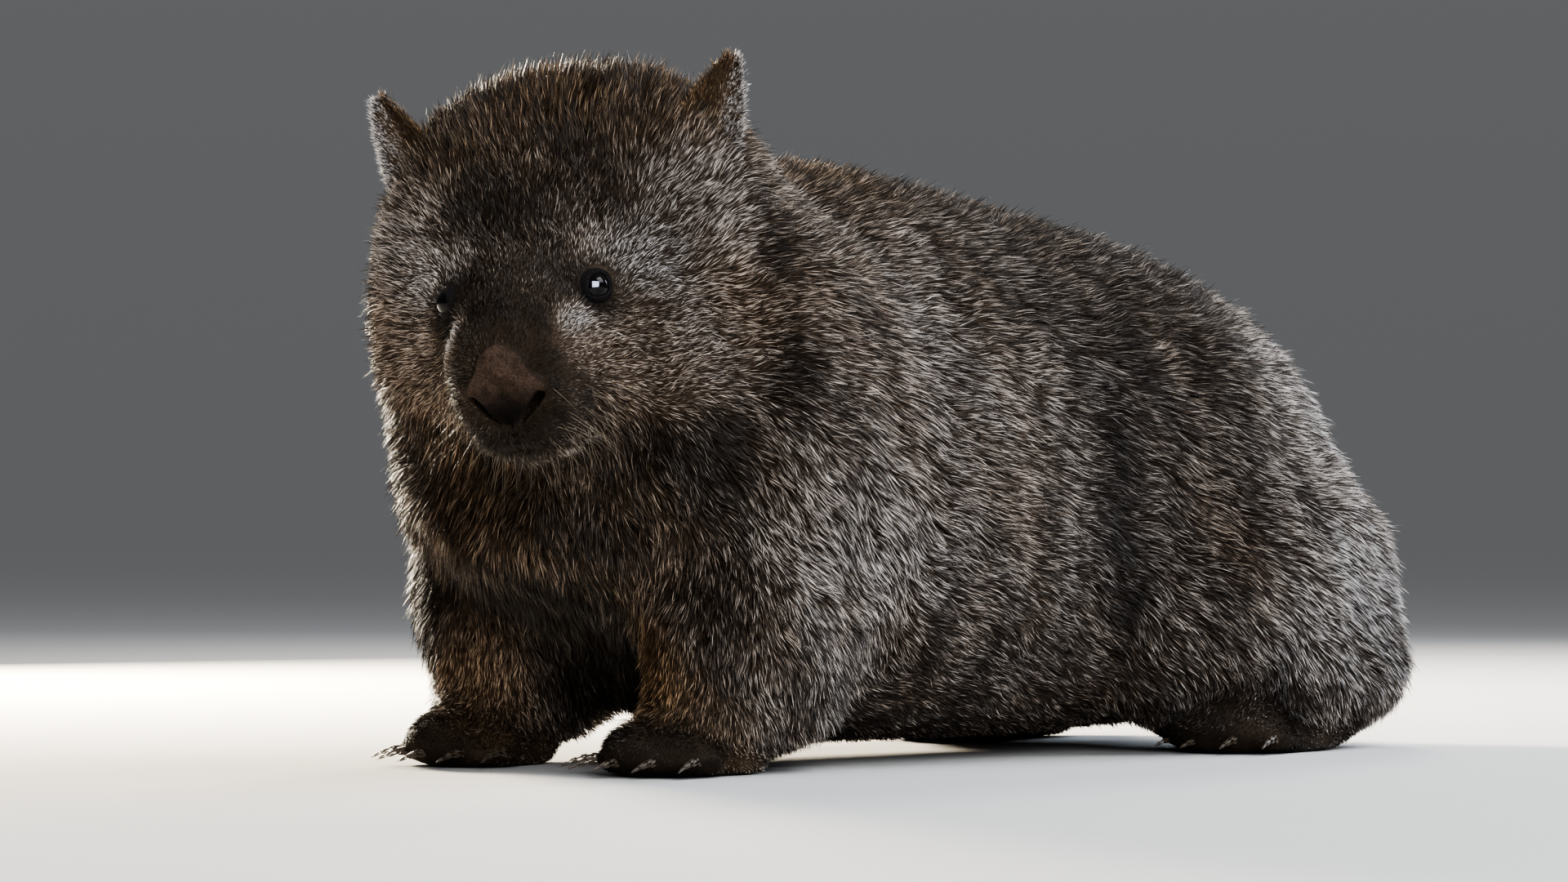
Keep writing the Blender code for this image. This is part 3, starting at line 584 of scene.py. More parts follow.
# %% Marks on the skin
def marks(points):
    """Pale, warm and dark of the coat at points, broken up as on a living animal."""
    chart = read_chart(points)
    patches = waves(points, 0.045, 3)
    flecks = waves(points, 0.014, 4)
    pale = chart["pale"] + 0.10 * patches + 0.10 * flecks
    warm = chart["warm"] + 0.10 * waves(points, 0.060, 5)
    dark = chart["dark"] - 0.08 * patches + 0.06 * waves(points, 0.020, 6)
    return {"pale": np.clip(pale, 0, 1), "warm": np.clip(warm, 0, 1), "dark": np.clip(dark, 0, 1)}

def bare_share(points):
    """1 on naked skin: the nose pad, the rims of the lids and the soles."""
    at = to_head(points)
    bare = pad_share(at)
    for side in ("left", "right"):
        height, round_it, outside = eye_polar(at, side)
        bare = np.maximum(bare, soft_step(outside, 0.0046, 0.0030) * (round_it < 0.02) * (height > -0.002))
    return np.maximum(bare, soft_step(points[:, 2], 0.0030, 0.0012))

def set_attribute(mesh, name, values):
    made = mesh.attributes.new(name, "FLOAT", "POINT")
    made.data.foreach_set("value", np.asarray(values, dtype=np.float32))

skin_points = read_points(skin_mesh)
for name, values in marks(skin_points).items():
    set_attribute(skin_mesh, name, values)
skin_bare = bare_share(skin_points)
set_attribute(skin_mesh, "bare", skin_bare)
set_attribute(skin_mesh, "pad", pad_share(to_head(skin_points)))
skin_mesh.shade_smooth()
print("bare share of points", round(float(skin_bare.mean()), 3))

# %% [markdown]
# Guard hairs are dark at the root, brown along the shaft and often pale at the tip, and every few hairs one
# stays dark: that grizzle is what makes a wombat look silver from one side and brown from another. One node
# group holds the rule. The skin uses it near the root end, the tufts along their whole length.

# %% The grizzle rule as a node group
ROOT_COLOUR = (0.012, 0.009, 0.007, 1)
SHAFT_COOL = (0.062, 0.049, 0.039, 1)
SHAFT_WARM = (0.112, 0.069, 0.038, 1)
TIP_SILVER = (0.66, 0.63, 0.61, 1)
TIP_GOLD = (0.52, 0.33, 0.17, 1)
TIP_DARK = (0.020, 0.014, 0.011, 1)

def new_group(name, inputs, outputs):
    group = bpy.data.node_groups.new(name, "ShaderNodeTree")
    for label, kind in inputs:
        group.interface.new_socket(label, in_out="INPUT", socket_type=kind)
    for label, kind in outputs:
        group.interface.new_socket(label, in_out="OUTPUT", socket_type=kind)
    return group, group.nodes.new("NodeGroupInput"), group.nodes.new("NodeGroupOutput")

def feed(tree, socket, value):
    """Links an output into a socket, or sets the socket to a plain value."""
    if isinstance(value, bpy.types.NodeSocket):
        tree.links.new(value, socket)
    else:
        socket.default_value = value

def blend_colour(tree, share, first, second, way="MIX"):
    node = tree.nodes.new("ShaderNodeMix")
    node.data_type = "RGBA"
    node.blend_type = way
    for index, value in ((0, share), (6, first), (7, second)):
        feed(tree, node.inputs[index], value)
    return node.outputs[2]

def ramp(tree, value, start, end, low=0.0, high=1.0):
    node = tree.nodes.new("ShaderNodeMapRange")
    node.interpolation_type = "SMOOTHSTEP"
    for index, fed in enumerate((value, start, end, low, high)):
        feed(tree, node.inputs[index], fed)
    return node.outputs[0]

def calculate(tree, operation, first, second):
    node = tree.nodes.new("ShaderNodeMath")
    node.operation = operation
    feed(tree, node.inputs[0], first)
    feed(tree, node.inputs[1], second)
    return node.outputs[0]

FLOAT, COLOUR = "NodeSocketFloat", "NodeSocketColor"
MARK_NAMES = ("Along", "Luck", "Pale", "Warm", "Dark")
grizzle, given, result = new_group("grizzle", [(n, FLOAT) for n in MARK_NAMES], [("Color", COLOUR)])
along, luck, pale, warm, dark = (given.outputs[n] for n in MARK_NAMES)
shaft = blend_colour(grizzle, warm, SHAFT_COOL, SHAFT_WARM)
bright_tip = blend_colour(grizzle, warm, TIP_SILVER, TIP_GOLD)
lit = calculate(grizzle, "MULTIPLY", pale, 0.74)
is_pale = ramp(grizzle, calculate(grizzle, "SUBTRACT", lit, luck), -0.12, 0.12)
tip = blend_colour(grizzle, is_pale, TIP_DARK, bright_tip)
from_root = blend_colour(grizzle, ramp(grizzle, along, 0.10, 0.45), ROOT_COLOUR, shaft)
whole = blend_colour(grizzle, ramp(grizzle, along, 0.45, 0.75), from_root, tip)
second_luck = calculate(grizzle, "FRACT", calculate(grizzle, "MULTIPLY", luck, 7.3), 0.0)
own = ramp(grizzle, second_luck, 0.0, 1.0, 0.55, 1.45)
shade = calculate(grizzle, "MULTIPLY", ramp(grizzle, dark, 0.25, 1.0, 1.0, 0.24), own)
shaded = blend_colour(grizzle, 1.0, whole, (1, 1, 1, 1), "MULTIPLY")
multiplier = shaded.node.inputs[7]
grey = grizzle.nodes.new("ShaderNodeCombineColor")
for socket in grey.inputs:
    grizzle.links.new(shade, socket)
grizzle.links.new(grey.outputs[0], multiplier)
grizzle.links.new(shaded, result.inputs["Color"])
print("grizzle nodes", len(grizzle.nodes))

# %% [markdown]
# The nose is thick, pebbled leather: paler brown towards the top, near black and slightly damp below. Cells
# from a Voronoi pattern give the pebbles and a fine noise the pores between them. Lids and soles use the same
# leather, darker.

# %% Leather as a node group
LEATHER_TOP = (0.092, 0.060, 0.044, 1)
LEATHER_LOW = (0.004, 0.003, 0.0027, 1)
LEATHER_LID = (0.014, 0.012, 0.012, 1)
PEBBLES_PER_METRE = 900
PORES_PER_METRE = 2600
STAINS_PER_METRE = 160

leather, given, result = new_group(
    "leather", [("Height", FLOAT), ("Pad", FLOAT)], [("Color", COLOUR), ("Relief", FLOAT)])
place = leather.nodes.new("ShaderNodeTexCoord").outputs["Object"]
pebbles = leather.nodes.new("ShaderNodeTexVoronoi")
pebbles.inputs["Scale"].default_value = PEBBLES_PER_METRE
pores = leather.nodes.new("ShaderNodeTexNoise")
pores.inputs["Scale"].default_value = PORES_PER_METRE
stains = leather.nodes.new("ShaderNodeTexNoise")
stains.inputs["Scale"].default_value = STAINS_PER_METRE
for node in (pebbles, pores, stains):
    leather.links.new(place, node.inputs["Vector"])
# Paler brown towards the top of the pad and near black towards the bottom, by height alone
paler_up_the_pad = ramp(leather, given.outputs["Height"], 0.14, 0.62)
stained_and_paler_up = calculate(leather, "MULTIPLY", paler_up_the_pad, ramp(leather, stains.outputs[0], 0.34, 0.62, 0.55, 1.0))
pad_colour = blend_colour(leather, stained_and_paler_up, LEATHER_LOW, LEATHER_TOP)
between_pebbles = ramp(leather, pebbles.outputs["Distance"], 0.2, 0.9, 0.0, 0.5)
flecked = blend_colour(leather, between_pebbles, pad_colour, LEATHER_LOW)
leather.links.new(blend_colour(leather, given.outputs["Pad"], LEATHER_LID, flecked), result.inputs["Color"])
relief = calculate(leather, "SUBTRACT", pores.outputs[0], pebbles.outputs["Distance"])
leather.links.new(relief, result.inputs["Relief"])
print("leather nodes", len(leather.nodes))

# %% [markdown]
# Each material then reads the marks from the mesh and hands them to the groups. The coat's roughness is
# middling, and it reflects little, so that the strands keep their own brown and silver; the eyes are wet and
# almost black; the claws are dark horn with a paler grain.

# %% Materials
def new_material(name, roughness, specular=0.5):
    made = bpy.data.materials.new(name)
    made.use_nodes = True
    shader = made.node_tree.nodes["Principled BSDF"]
    shader.inputs["Roughness"].default_value = roughness
    shader.inputs["Specular IOR Level"].default_value = specular
    return made.node_tree, shader, made

def attribute(tree, name):
    node = tree.nodes.new("ShaderNodeAttribute")
    node.attribute_name = name
    return node.outputs["Fac"]

def use_group(tree, group, **fed):
    node = tree.nodes.new("ShaderNodeGroup")
    node.node_tree = group
    for name, value in fed.items():
        feed(tree, node.inputs[name], value)
    return node.outputs

def bump(tree, height, distance, strength):
    node = tree.nodes.new("ShaderNodeBump")
    node.inputs["Distance"].default_value = distance
    feed(tree, node.inputs["Strength"], strength)
    feed(tree, node.inputs["Height"], height)
    return node.outputs[0]

tree, shader, coat_material = new_material("coat", 0.44, 0.14)
colour = use_group(tree, grizzle, **{n: attribute(tree, n.lower()) for n in MARK_NAMES})["Color"]
feed(tree, shader.inputs["Base Color"], colour)

tree, shader, skin_material = new_material("skin", 0.60, 0.06)
bare = attribute(tree, "bare")
skin_marks = {n: attribute(tree, n.lower()) for n in MARK_NAMES[2:]}
under = use_group(tree, grizzle, Along=0.30, Luck=0.5, **skin_marks)
hide = use_group(tree, leather, Height=attribute(tree, "height"), Pad=attribute(tree, "pad"))
feed(tree, shader.inputs["Base Color"], blend_colour(tree, bare, under["Color"], hide["Color"]))
feed(tree, shader.inputs["Roughness"], ramp(tree, bare, 0.0, 1.0, 0.80, 0.55))
feed(tree, shader.inputs["Normal"], bump(tree, hide["Relief"], 0.0010, bare))

tree, shader, eye_material = new_material("eye", 0.05, 0.20)
shader.inputs["Base Color"].default_value = (0.003, 0.0025, 0.0025, 1)

HORN_DARK, HORN_PALE = (0.030, 0.022, 0.016, 1), (0.105, 0.078, 0.052, 1)
tree, shader, horn_material = new_material("horn", 0.38)
grain = tree.nodes.new("ShaderNodeTexNoise")
grain.inputs["Scale"].default_value = 420
horn_share = ramp(tree, grain.outputs[0], 0.35, 0.65)
feed(tree, shader.inputs["Base Color"], blend_colour(tree, horn_share, HORN_DARK, HORN_PALE))
feed(tree, shader.inputs["Normal"], bump(tree, grain.outputs[0], 0.0004, 0.4))

tree, shader, whisker_material = new_material("whisker", 0.35)
shader.inputs["Base Color"].default_value = (0.26, 0.21, 0.15, 1)
print("materials", [made.name for made in bpy.data.materials])

# %% [markdown]
# Now the skin becomes a real object in the frame, in place of every flesh solid, and the eyes and claws are
# finished: the ball gets the slight bulge of its cornea, and the claws keep their solids with softer edges.

# %% Skin, eyes and claws in place
PAD_LOW, PAD_HIGH = -0.0545, -0.011
CORNEA_BULGE = 0.0006
CORNEA_REACH = 0.0052

pad_height = (to_head(skin_points)[:, 2] - PAD_LOW) / (PAD_HIGH - PAD_LOW)
set_attribute(skin_mesh, "height", np.clip(pad_height, 0, 1))
skin_mesh.materials.clear()
skin_mesh.materials.append(skin_material)
skin = mesh_object("skin", skin_mesh)
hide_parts(*FLESH, *EARS)
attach(skin, "root")

def eyeball(side):
    centre, way, slit, cross = eye_axes(side)
    work = bmesh.new()
    bmesh.ops.create_uvsphere(work, u_segments=64, v_segments=40, radius=EYEBALL)
    mesh = bpy.data.meshes.new(f"eyeball_{side}")
    work.to_mesh(mesh)
    work.free()
    points = read_points(mesh)
    cornea = bell(np.hypot(points[:, 0], points[:, 1]), CORNEA_REACH) * (points[:, 2] > 0)
    lift = 1 + CORNEA_BULGE / EYEBALL * cornea
    ways = np.array((slit, cross, way))
    write_points(mesh, from_head((points * lift[:, None]) @ ways + centre))
    mesh.shade_smooth()
    mesh.materials.append(eye_material)
    ball = mesh_object(f"eyeball_{side}", mesh)
    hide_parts(f"eye_{side}")
    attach(ball, "root")

for side in ("left", "right"):
    eyeball(side)
for name, claw in frame["nodes"].items():
    if name.startswith("claw"):
        claw.data.materials.clear()
        claw.data.materials.append(horn_material)
        rounding = claw.modifiers.new("rounding", "SUBSURF")
        rounding.levels = rounding.render_levels = 2
print("skin", len(skin_mesh.polygons), "faces")

# %% [markdown]
# A coat is grown by area: every skin triangle gets as many tufts as its area holds at the chart's spacing.
# Running totals share them out evenly, so there are no bald or crowded faces. Each tuft's root lies at a
# random place inside its triangle.

# %% Skin triangles as arrays
def triangles_of(mesh):
    mesh.calc_loop_triangles()
    flat = np.empty(len(mesh.loop_triangles) * 3, dtype=np.int32)
    mesh.loop_triangles.foreach_get("vertices", flat)
    return flat.reshape(-1, 3)

skin_normals = read_normals(skin_mesh)
corners = triangles_of(skin_mesh)
triangle_middles = skin_points[corners].mean(axis=1)
triangle_areas = np.linalg.norm(np.cross(
    skin_points[corners[:, 1]] - skin_points[corners[:, 0]],
    skin_points[corners[:, 2]] - skin_points[corners[:, 0]]), axis=1) / 2
on_ear = corners.min(axis=1) >= body_count
print("skin area", round(float(triangle_areas.sum()), 3), "m2")

# %% [markdown]
# The coat is made in named pieces, each with its own unwrap. A skin face belongs to the piece whose middle
# is nearest. Tufts reach over a piece's border, so no seam shows between them.

# %% Pieces of the coat
BODY_PIECES = {
    "coat_shoulder_left": (0.15, -0.13, 0.20), "coat_shoulder_right": (-0.15, -0.13, 0.20),
    "coat_flank_left": (0.16, 0.02, 0.15), "coat_flank_right": (-0.16, 0.02, 0.15),
    "coat_rump_left": (0.14, 0.22, 0.14), "coat_rump_right": (-0.14, 0.22, 0.14),
    "coat_tail_end": (0.00, 0.38, 0.15), "coat_belly": (0.00, 0.05, -0.02),
    "coat_withers": (0.00, -0.08, 0.36), "coat_back": (0.00, 0.15, 0.34), "coat_chest": (0.00, -0.30, 0.11),
}
HEAD_PIECES = {
    "coat_muzzle": (0.045, 0.00, -0.045), "coat_face_left": (-0.010, 0.050, -0.020),
    "coat_face_right": (-0.010, -0.050, -0.020), "coat_crown": (-0.090, 0.00, 0.080),
    "coat_cheek_left": (-0.070, 0.125, -0.040), "coat_cheek_right": (-0.070, -0.125, -0.040),
}
piece_names = list(BODY_PIECES) + list(HEAD_PIECES)
head_middles = from_head(np.array(list(HEAD_PIECES.values())))
piece_middles = np.vstack((np.array(list(BODY_PIECES.values())), head_middles))

def piece_of(points):
    away = np.stack([np.linalg.norm(points - middle, axis=1) for middle in piece_middles])
    return away.argmin(axis=0)

triangle_piece = piece_of(triangle_middles)
triangle_piece[on_ear] = len(piece_names)
piece_names.append("coat_ears")
print("pieces", {n: int((triangle_piece == i).sum()) for i, n in enumerate(piece_names)})

# %% [markdown]
# A tuft starts steeply and bends over until it lies almost flat, so that its tip reaches just as high as
# the coat is deep. Its width tapers to a point. Neighbours lean towards a shared tip, which makes the soft
# locks of a real pelt, and no two have quite the same length, lift, turn or twist.

# %% How a tuft grows
ROWS = np.array((0.0, 0.48, 1.0))
ROW_WIDTHS = np.array((0.80, 0.90, 0.0))
STEEPEST, FLATTEST = 1.45, 0.55
LOCK_SIZE, LOCK_PULL = 0.0055, 0.42
SHORT_LOCK_SIZE, SHORT_LOCK_PULL = 0.0028, 0.20
SCATTER = radians(22)
# The crown's hair stands up; place and reach in the head's own axes
CROWN_PLACE = (-0.100, 0.0, 0.095)
CROWN_REACH = 0.060
STRAY_SHARE, STRAY_LIFT, STRAY_REACH = 0.09, 1.8, 1.25

def roots_on(chosen, keep, tightness):
    """Roots on chosen triangles: places, normals, triangle numbers and corner shares."""
    spacing = read_chart(triangle_middles[chosen])["spacing"] * tightness
    wanted = np.cumsum(triangle_areas[chosen] * keep / spacing**2)
    picked = np.searchsorted(wanted, np.arange(0.5, wanted[-1]))
    shares = chance.dirichlet((1, 1, 1), len(picked))
    numbers = chosen[picked]
    at = (skin_points[corners[numbers]] * shares[..., None]).sum(axis=1)
    out = unit((skin_normals[corners[numbers]] * shares[..., None]).sum(axis=1))
    return at, out, numbers, shares

def lie_of(at, out, way):
    """The way the hair lies at each root, along the surface, with soft and small unevenness."""
    along = unit(way - out * (way * out).sum(axis=1, keepdims=True))
    turn = radians(18) * waves(at, 0.045, 11) + radians(20) * waves(at, 0.012, 12)
    turn += chance.normal(0, SCATTER, len(at))
    across = np.cross(out, along)
    return along * np.cos(turn)[:, None] + across * np.sin(turn)[:, None]

def grow(at, out, lie, length, depth):
    """Middle line of every tuft, row by row."""
    mean_lift = np.arcsin(np.clip(depth / length, 0.03, 0.95))
    line = [at]
    for start, end in zip(ROWS, ROWS[1:]):
        share = (start + end) / 2
        lift = np.minimum(mean_lift * (STEEPEST + (FLATTEST - STEEPEST) * share), radians(82))
        step = lie * np.cos(lift)[:, None] + out * np.sin(lift)[:, None]
        line.append(line[-1] + step * (length * (end - start))[:, None])
    return line

def pull_together(line, size, pull, seed):
    """Leans the tufts of each small patch towards their shared middle, most at the tips."""
    swirl = np.stack([waves(line[0], size * 1.7, seed + i) for i in range(3)], axis=1)
    warped = line[0] + 0.35 * size * swirl
    cells = np.floor(warped / size).astype(np.int64)
    _, group = np.unique(cells @ np.array((1, 4096, 16777216)), return_inverse=True)
    group = group.ravel()
    count = np.bincount(group)
    for index, row in enumerate(ROWS):
        middle = np.stack([np.bincount(group, line[index][:, i]) / count for i in range(3)], axis=1)[group]
        line[index] = line[index] + (middle - line[index]) * pull * row**1.5
    return line

# %% Grow the whole coat
# Hair longer than this gathers in the long locks
FACE_LENGTH = 0.0125
TIGHTNESS = 1.0
# No tuft reaches lower than this
LOWEST = 0.0008
ROOT_DEPTH = 0.0004
EYE_PUSH, EYE_PUSH_REACH = 2.4, 0.015

def away_from_eyes(at):
    """A push of the lie away from each eye, strongest at the lids."""
    push = np.zeros_like(at)
    for side in ("left", "right"):
        offset = at - from_head(eye_axes(side)[0][None])
        reach = np.linalg.norm(offset, axis=1, keepdims=True)
        push += offset / reach * EYE_PUSH * bell(reach, EYE_PUSH_REACH)
    return push

def tuft_set(at, out, numbers, shares, chart, way, lock_size, pull):
    """Everything about one set of tufts: middle lines, widths, marks and where each is rooted."""
    count = len(at)
    length = chart["length"] * chance.uniform(0.60, 1.18, count)
    depth = chart["depth"] * chance.uniform(0.35, 1.30, count)
    depth *= 1 + 0.22 * waves(at, 0.022, 31)
    crown = bell(np.linalg.norm(to_head(at) - CROWN_PLACE, axis=1), CROWN_REACH)
    can_stray = STRAY_SHARE * (1 + 2 * crown) * soft_step(chart["length"], 0.006, 0.012)
    stray = chance.uniform(0, 1, count) < can_stray
    depth *= np.where(stray, STRAY_LIFT + 0.5 * crown, 1)
    length *= np.where(stray, STRAY_REACH, 1) * (0.25 + 0.75 * soft_step(at[:, 2], 0.006, 0.030))
    line = grow(at - out * ROOT_DEPTH, out, lie_of(at, out, way), length, depth)
    line = pull_together(line, lock_size, pull, 40)
    line = pull_together(line, lock_size * 2.6, pull * 0.45, 50)
    for row in line:
        row[:, 2] = np.maximum(row[:, 2], LOWEST)
    known = marks(at)
    known["luck"] = chance.uniform(0, 1, count)
    width = chart["width"] * chance.uniform(0.45, 1.45, count)
    twist = chance.uniform(-0.9, 0.9, count)
    return {"line": line, "out": out, "width": width, "marks": known, "twist": twist,
            "triangle": numbers, "shares": shares}

grown = []
body_triangles = np.flatnonzero(~on_ear)
keep = 1 - bare_share(triangle_middles[body_triangles])
long_haired = read_chart(triangle_middles[body_triangles])["length"] > FACE_LENGTH
for is_long, lock_size, pull in ((True, LOCK_SIZE, LOCK_PULL), (False, SHORT_LOCK_SIZE, SHORT_LOCK_PULL)):
    these = long_haired == is_long
    at, out, numbers, shares = roots_on(body_triangles[these], keep[these], TIGHTNESS)
    chart = read_chart(at)
    way = chart["way"] + away_from_eyes(at)
    grown.append(tuft_set(at, out, numbers, shares, chart, way, lock_size, pull))
    print("long" if is_long else "short", "tufts", len(at))

# %% [markdown]
# An ear is furred on both sides: short orange-brown hair lies towards its tip, with painted shade darkening
# it deep in the cup, and a stripe of white hair fans along the outer edge; that stripe is partly pale hair
# and partly a painted glow of backlight, and the rim is painted paler as painted rim light. So its tufts
# follow the ear's own axes, not the chart.

# %% Grow the ears' hair
EAR_SPACING = 0.0008
# On the flat of the ear, and along its rim
EAR_HAIR = {"length": (0.0062, 0.0080), "depth": (0.0016, 0.0024), "width": (0.00034, 0.00034)}

ear_triangles = np.flatnonzero(on_ear)
wanted = np.cumsum(triangle_areas[ear_triangles]) / (EAR_SPACING * TIGHTNESS) ** 2
numbers = ear_triangles[np.searchsorted(wanted, np.arange(0.5, wanted[-1]))]
shares = chance.dirichlet((1, 1, 1), len(numbers))
at = (skin_points[corners[numbers]] * shares[..., None]).sum(axis=1)
out = unit((skin_normals[corners[numbers]] * shares[..., None]).sum(axis=1))
way, rim, inner, outer = np.zeros_like(at), np.zeros(len(at)), np.zeros(len(at)), np.zeros(len(at))
for side, sign in (("left", 1), ("right", -1)):
    sheet, along, across, facing = ear_sheet(side)
    mine = (to_head(at)[:, 1] > 0) == (side == "left")
    offset = to_head(at[mine]) - sheet[0].mean(axis=0)
    rise = offset @ along / np.linalg.norm(sheet[-1].mean(axis=0) - sheet[0].mean(axis=0))
    lateral = offset @ across / (EAR_HALF_WIDTH * (1 - EAR_POINT * np.clip(rise, 0, 1) ** EAR_TAPER))
    inner[mine] = (out[mine] @ AXES.T @ facing) > 0
    outer[mine] = soft_step(lateral * sign, -0.15, 0.45)
    rim[mine] = np.maximum(soft_step(np.abs(lateral), 0.60, 0.90), soft_step(rise, 0.85, 0.97))
    fan = along * 0.9 + across * (lateral * 0.9)[:, None] + facing * (0.5 * rim[mine] - 0.1)[:, None]
    way[mine] = fan @ AXES
ear_chart = {name: low + (high - low) * rim for name, (low, high) in EAR_HAIR.items()}
ears_grown = tuft_set(at, out, numbers, shares, ear_chart, way, 0.004, 0.25)
# Painted shade darkens the hair deep in the cup; the white stripe is partly pale hair, partly painted glow of
# backlight
# and the rim is made paler and less dark as painted rim light
white_hair_and_painted_glow = outer * np.maximum(inner, rim)
ear_dark_and_painted_light = 0.50 + 0.30 * inner * (1 - outer) - 0.50 * white_hair_and_painted_glow - 0.30 * rim
ears_grown["marks"]["pale"] = np.clip(0.30 + 1.00 * white_hair_and_painted_glow + 0.20 * rim, 0, 1.3)
ears_grown["marks"]["warm"] = np.clip(0.95 - 0.95 * white_hair_and_painted_glow, 0, 1)
ears_grown["marks"]["dark"] = np.clip(ear_dark_and_painted_light, 0, 1)
grown.append(ears_grown)
print("ear tufts", len(at))

# %% [markdown]
# For painting, every tuft takes a tiny patch of the picture at the place where it is rooted on an unwrap of
# the skin. Each coat piece unwraps its own patch of skin, so that the picture is used well.

# %% Unwrap the skin under a piece
UV_PATCH = 0.003
UV_EDGE = 0.004

def unwrap(chosen):
    """The unwrapped corners of the chosen skin triangles, spread over the whole picture."""
    used, local = np.unique(corners[chosen], return_inverse=True)
    mesh = bpy.data.meshes.new("patch")
    mesh.from_pydata(skin_points[used].tolist(), [], local.reshape(-1, 3).tolist())
    patch = mesh_object("patch", mesh)
    bpy.ops.object.select_all(action="DESELECT")
    patch.select_set(True)
    bpy.context.view_layer.objects.active = patch
    bpy.ops.object.mode_set(mode="EDIT")
    bpy.ops.mesh.select_all(action="SELECT")
    bpy.ops.uv.smart_project(angle_limit=radians(66), island_margin=0.003)
    bpy.ops.object.mode_set(mode="OBJECT")
    flat = np.empty(len(mesh.loops) * 2)
    mesh.uv_layers.active.data.foreach_get("uv", flat)
    bpy.data.objects.remove(patch)
    places = flat.reshape(-1, 3, 2)
    low, high = places.min(axis=(0, 1)), places.max(axis=(0, 1))
    return UV_EDGE + (places - low) / (high - low) * (1 - 2 * UV_EDGE)

# %% [markdown]
# A tuft's mesh is a narrow ribbon: pairs of points down its length and one point at its tip, turned a
# little about its own line. Ribbons that lie over each other in thousands read as hair, and cost only a few
# triangles each.

# %% Ribbons from middle lines
def ribbons(tufts, chosen):
    """Points, faces, marks and picture places of the chosen tufts of one set."""
    line = [row[chosen] for row in tufts["line"]]
    out, twist = tufts["out"][chosen], tufts["twist"][chosen][:, None]
    points = []
    for index in range(len(ROWS) - 1):
        heading = unit(line[index + 1] - line[index])
        side = unit(np.cross(out, heading))
        side = side * np.cos(twist) + np.cross(heading, side) * np.sin(twist)
        half = (tufts["width"][chosen] * ROW_WIDTHS[index] / 2)[:, None]
        points += [line[index] - side * half, line[index] + side * half]
    points.append(line[-1])
    size = len(points)
    points = np.stack(points, axis=1)
    faces = [(a, a + 2, a + 3, a + 1) for a in range(0, size - 3, 2)] + [(size - 3, size - 1, size - 2)]
    along = np.repeat(ROWS, 2)[:size]
    across = np.array([-0.5, 0.5] * (len(ROWS) - 1) + [0.0])
    where = tufts["place"][chosen][:, None] + UV_PATCH * np.stack((across, along - 0.5), axis=1)
    known = {name: np.repeat(values[chosen], size) for name, values in tufts["marks"].items()}
    known["along"] = np.tile(along, len(chosen))
    return points, faces, known, np.clip(where, 0, 1)

def coat_piece(name, parts):
    """One mesh object from the ribbons of every set."""
    points = np.concatenate([part[0].reshape(-1, 3) for part in parts])
    picture = np.concatenate([part[3].reshape(-1, 2) for part in parts])
    corners_used, starts, first, loop_count = [], [], 0, 0
    for part in parts:
        count, size = part[0].shape[:2]
        base = first + np.arange(count)[:, None] * size
        for face in part[1]:
            block = (base + np.array(face)).astype(np.int32)
            corners_used.append(block.ravel())
            starts.append(loop_count + np.arange(count) * len(face))
            loop_count += block.size
        first += count * size
    corners_used, starts = np.concatenate(corners_used), np.concatenate(starts).astype(np.int32)
    mesh = bpy.data.meshes.new(name)
    mesh.vertices.add(len(points))
    mesh.vertices.foreach_set("co", points.ravel())
    mesh.loops.add(len(corners_used))
    mesh.loops.foreach_set("vertex_index", corners_used)
    mesh.polygons.add(len(starts))
    mesh.polygons.foreach_set("loop_start", starts)
    mesh.update(calc_edges=True)
    uv = mesh.uv_layers.new(name="OFBake")
    uv.data.foreach_set("uv", picture[corners_used].ravel())
    for mark in parts[0][2]:
        set_attribute(mesh, mark, np.concatenate([part[2][mark] for part in parts]))
    mesh.shade_smooth()
    mesh.materials.append(coat_material)
    coat = mesh_object(name, mesh)
    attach(coat, "root")
    return sum(len(part[0]) * (2 * len(part[1]) - 1) for part in parts)

# %% Make every piece of the coat
total = 0
for tufts in grown:
    tufts["place"] = np.zeros((len(tufts["triangle"]), 2))
for number, name in enumerate(piece_names):
    chosen = np.flatnonzero(triangle_piece == number)
    places = unwrap(chosen)
    position = np.full(len(corners), -1)
    position[chosen] = np.arange(len(chosen))
    parts = []
    for tufts in grown:
        mine = np.flatnonzero(triangle_piece[tufts["triangle"]] == number)
        if len(mine):
            spot = places[position[tufts["triangle"][mine]]]
            tufts["place"][mine] = (spot * tufts["shares"][mine][..., None]).sum(axis=1)
            parts.append(ribbons(tufts, mine))
    triangles = coat_piece(name, parts)
    total += triangles
    print(name, triangles, "triangles")
print("coat", total, "triangles")

# %% [markdown]
# Long stiff hairs stand out of the coat where a wombat feels its way: beside the nose, over the eyes and
# under the chin. They are tapering tubes, bent by their own weight.

# %% Whiskers
# Middle, spread, way and length in the head's own axes, and how many on each side
WHISKER_ZONES = (
    ((0.044, 0.027, -0.056), 0.009, (0.15, 0.90, -0.60), 0.024, 10),
    ((0.030, 0.036, -0.060), 0.010, (-0.10, 0.80, -0.70), 0.026, 14),
    ((0.040, 0.012, -0.082), 0.009, (0.35, 0.25, -1.00), 0.022, 9),
    ((0.022, 0.024, -0.088), 0.010, (0.15, 0.45, -1.00), 0.026, 7),
    ((-0.016, 0.036, 0.014), 0.004, (0.10, 0.35, 0.90), 0.018, 3),
)
WHISKER_RADIUS = 0.00008
WHISKER_ROWS = np.linspace(0, 1, 7)
WHISKER_SAG = 0.22

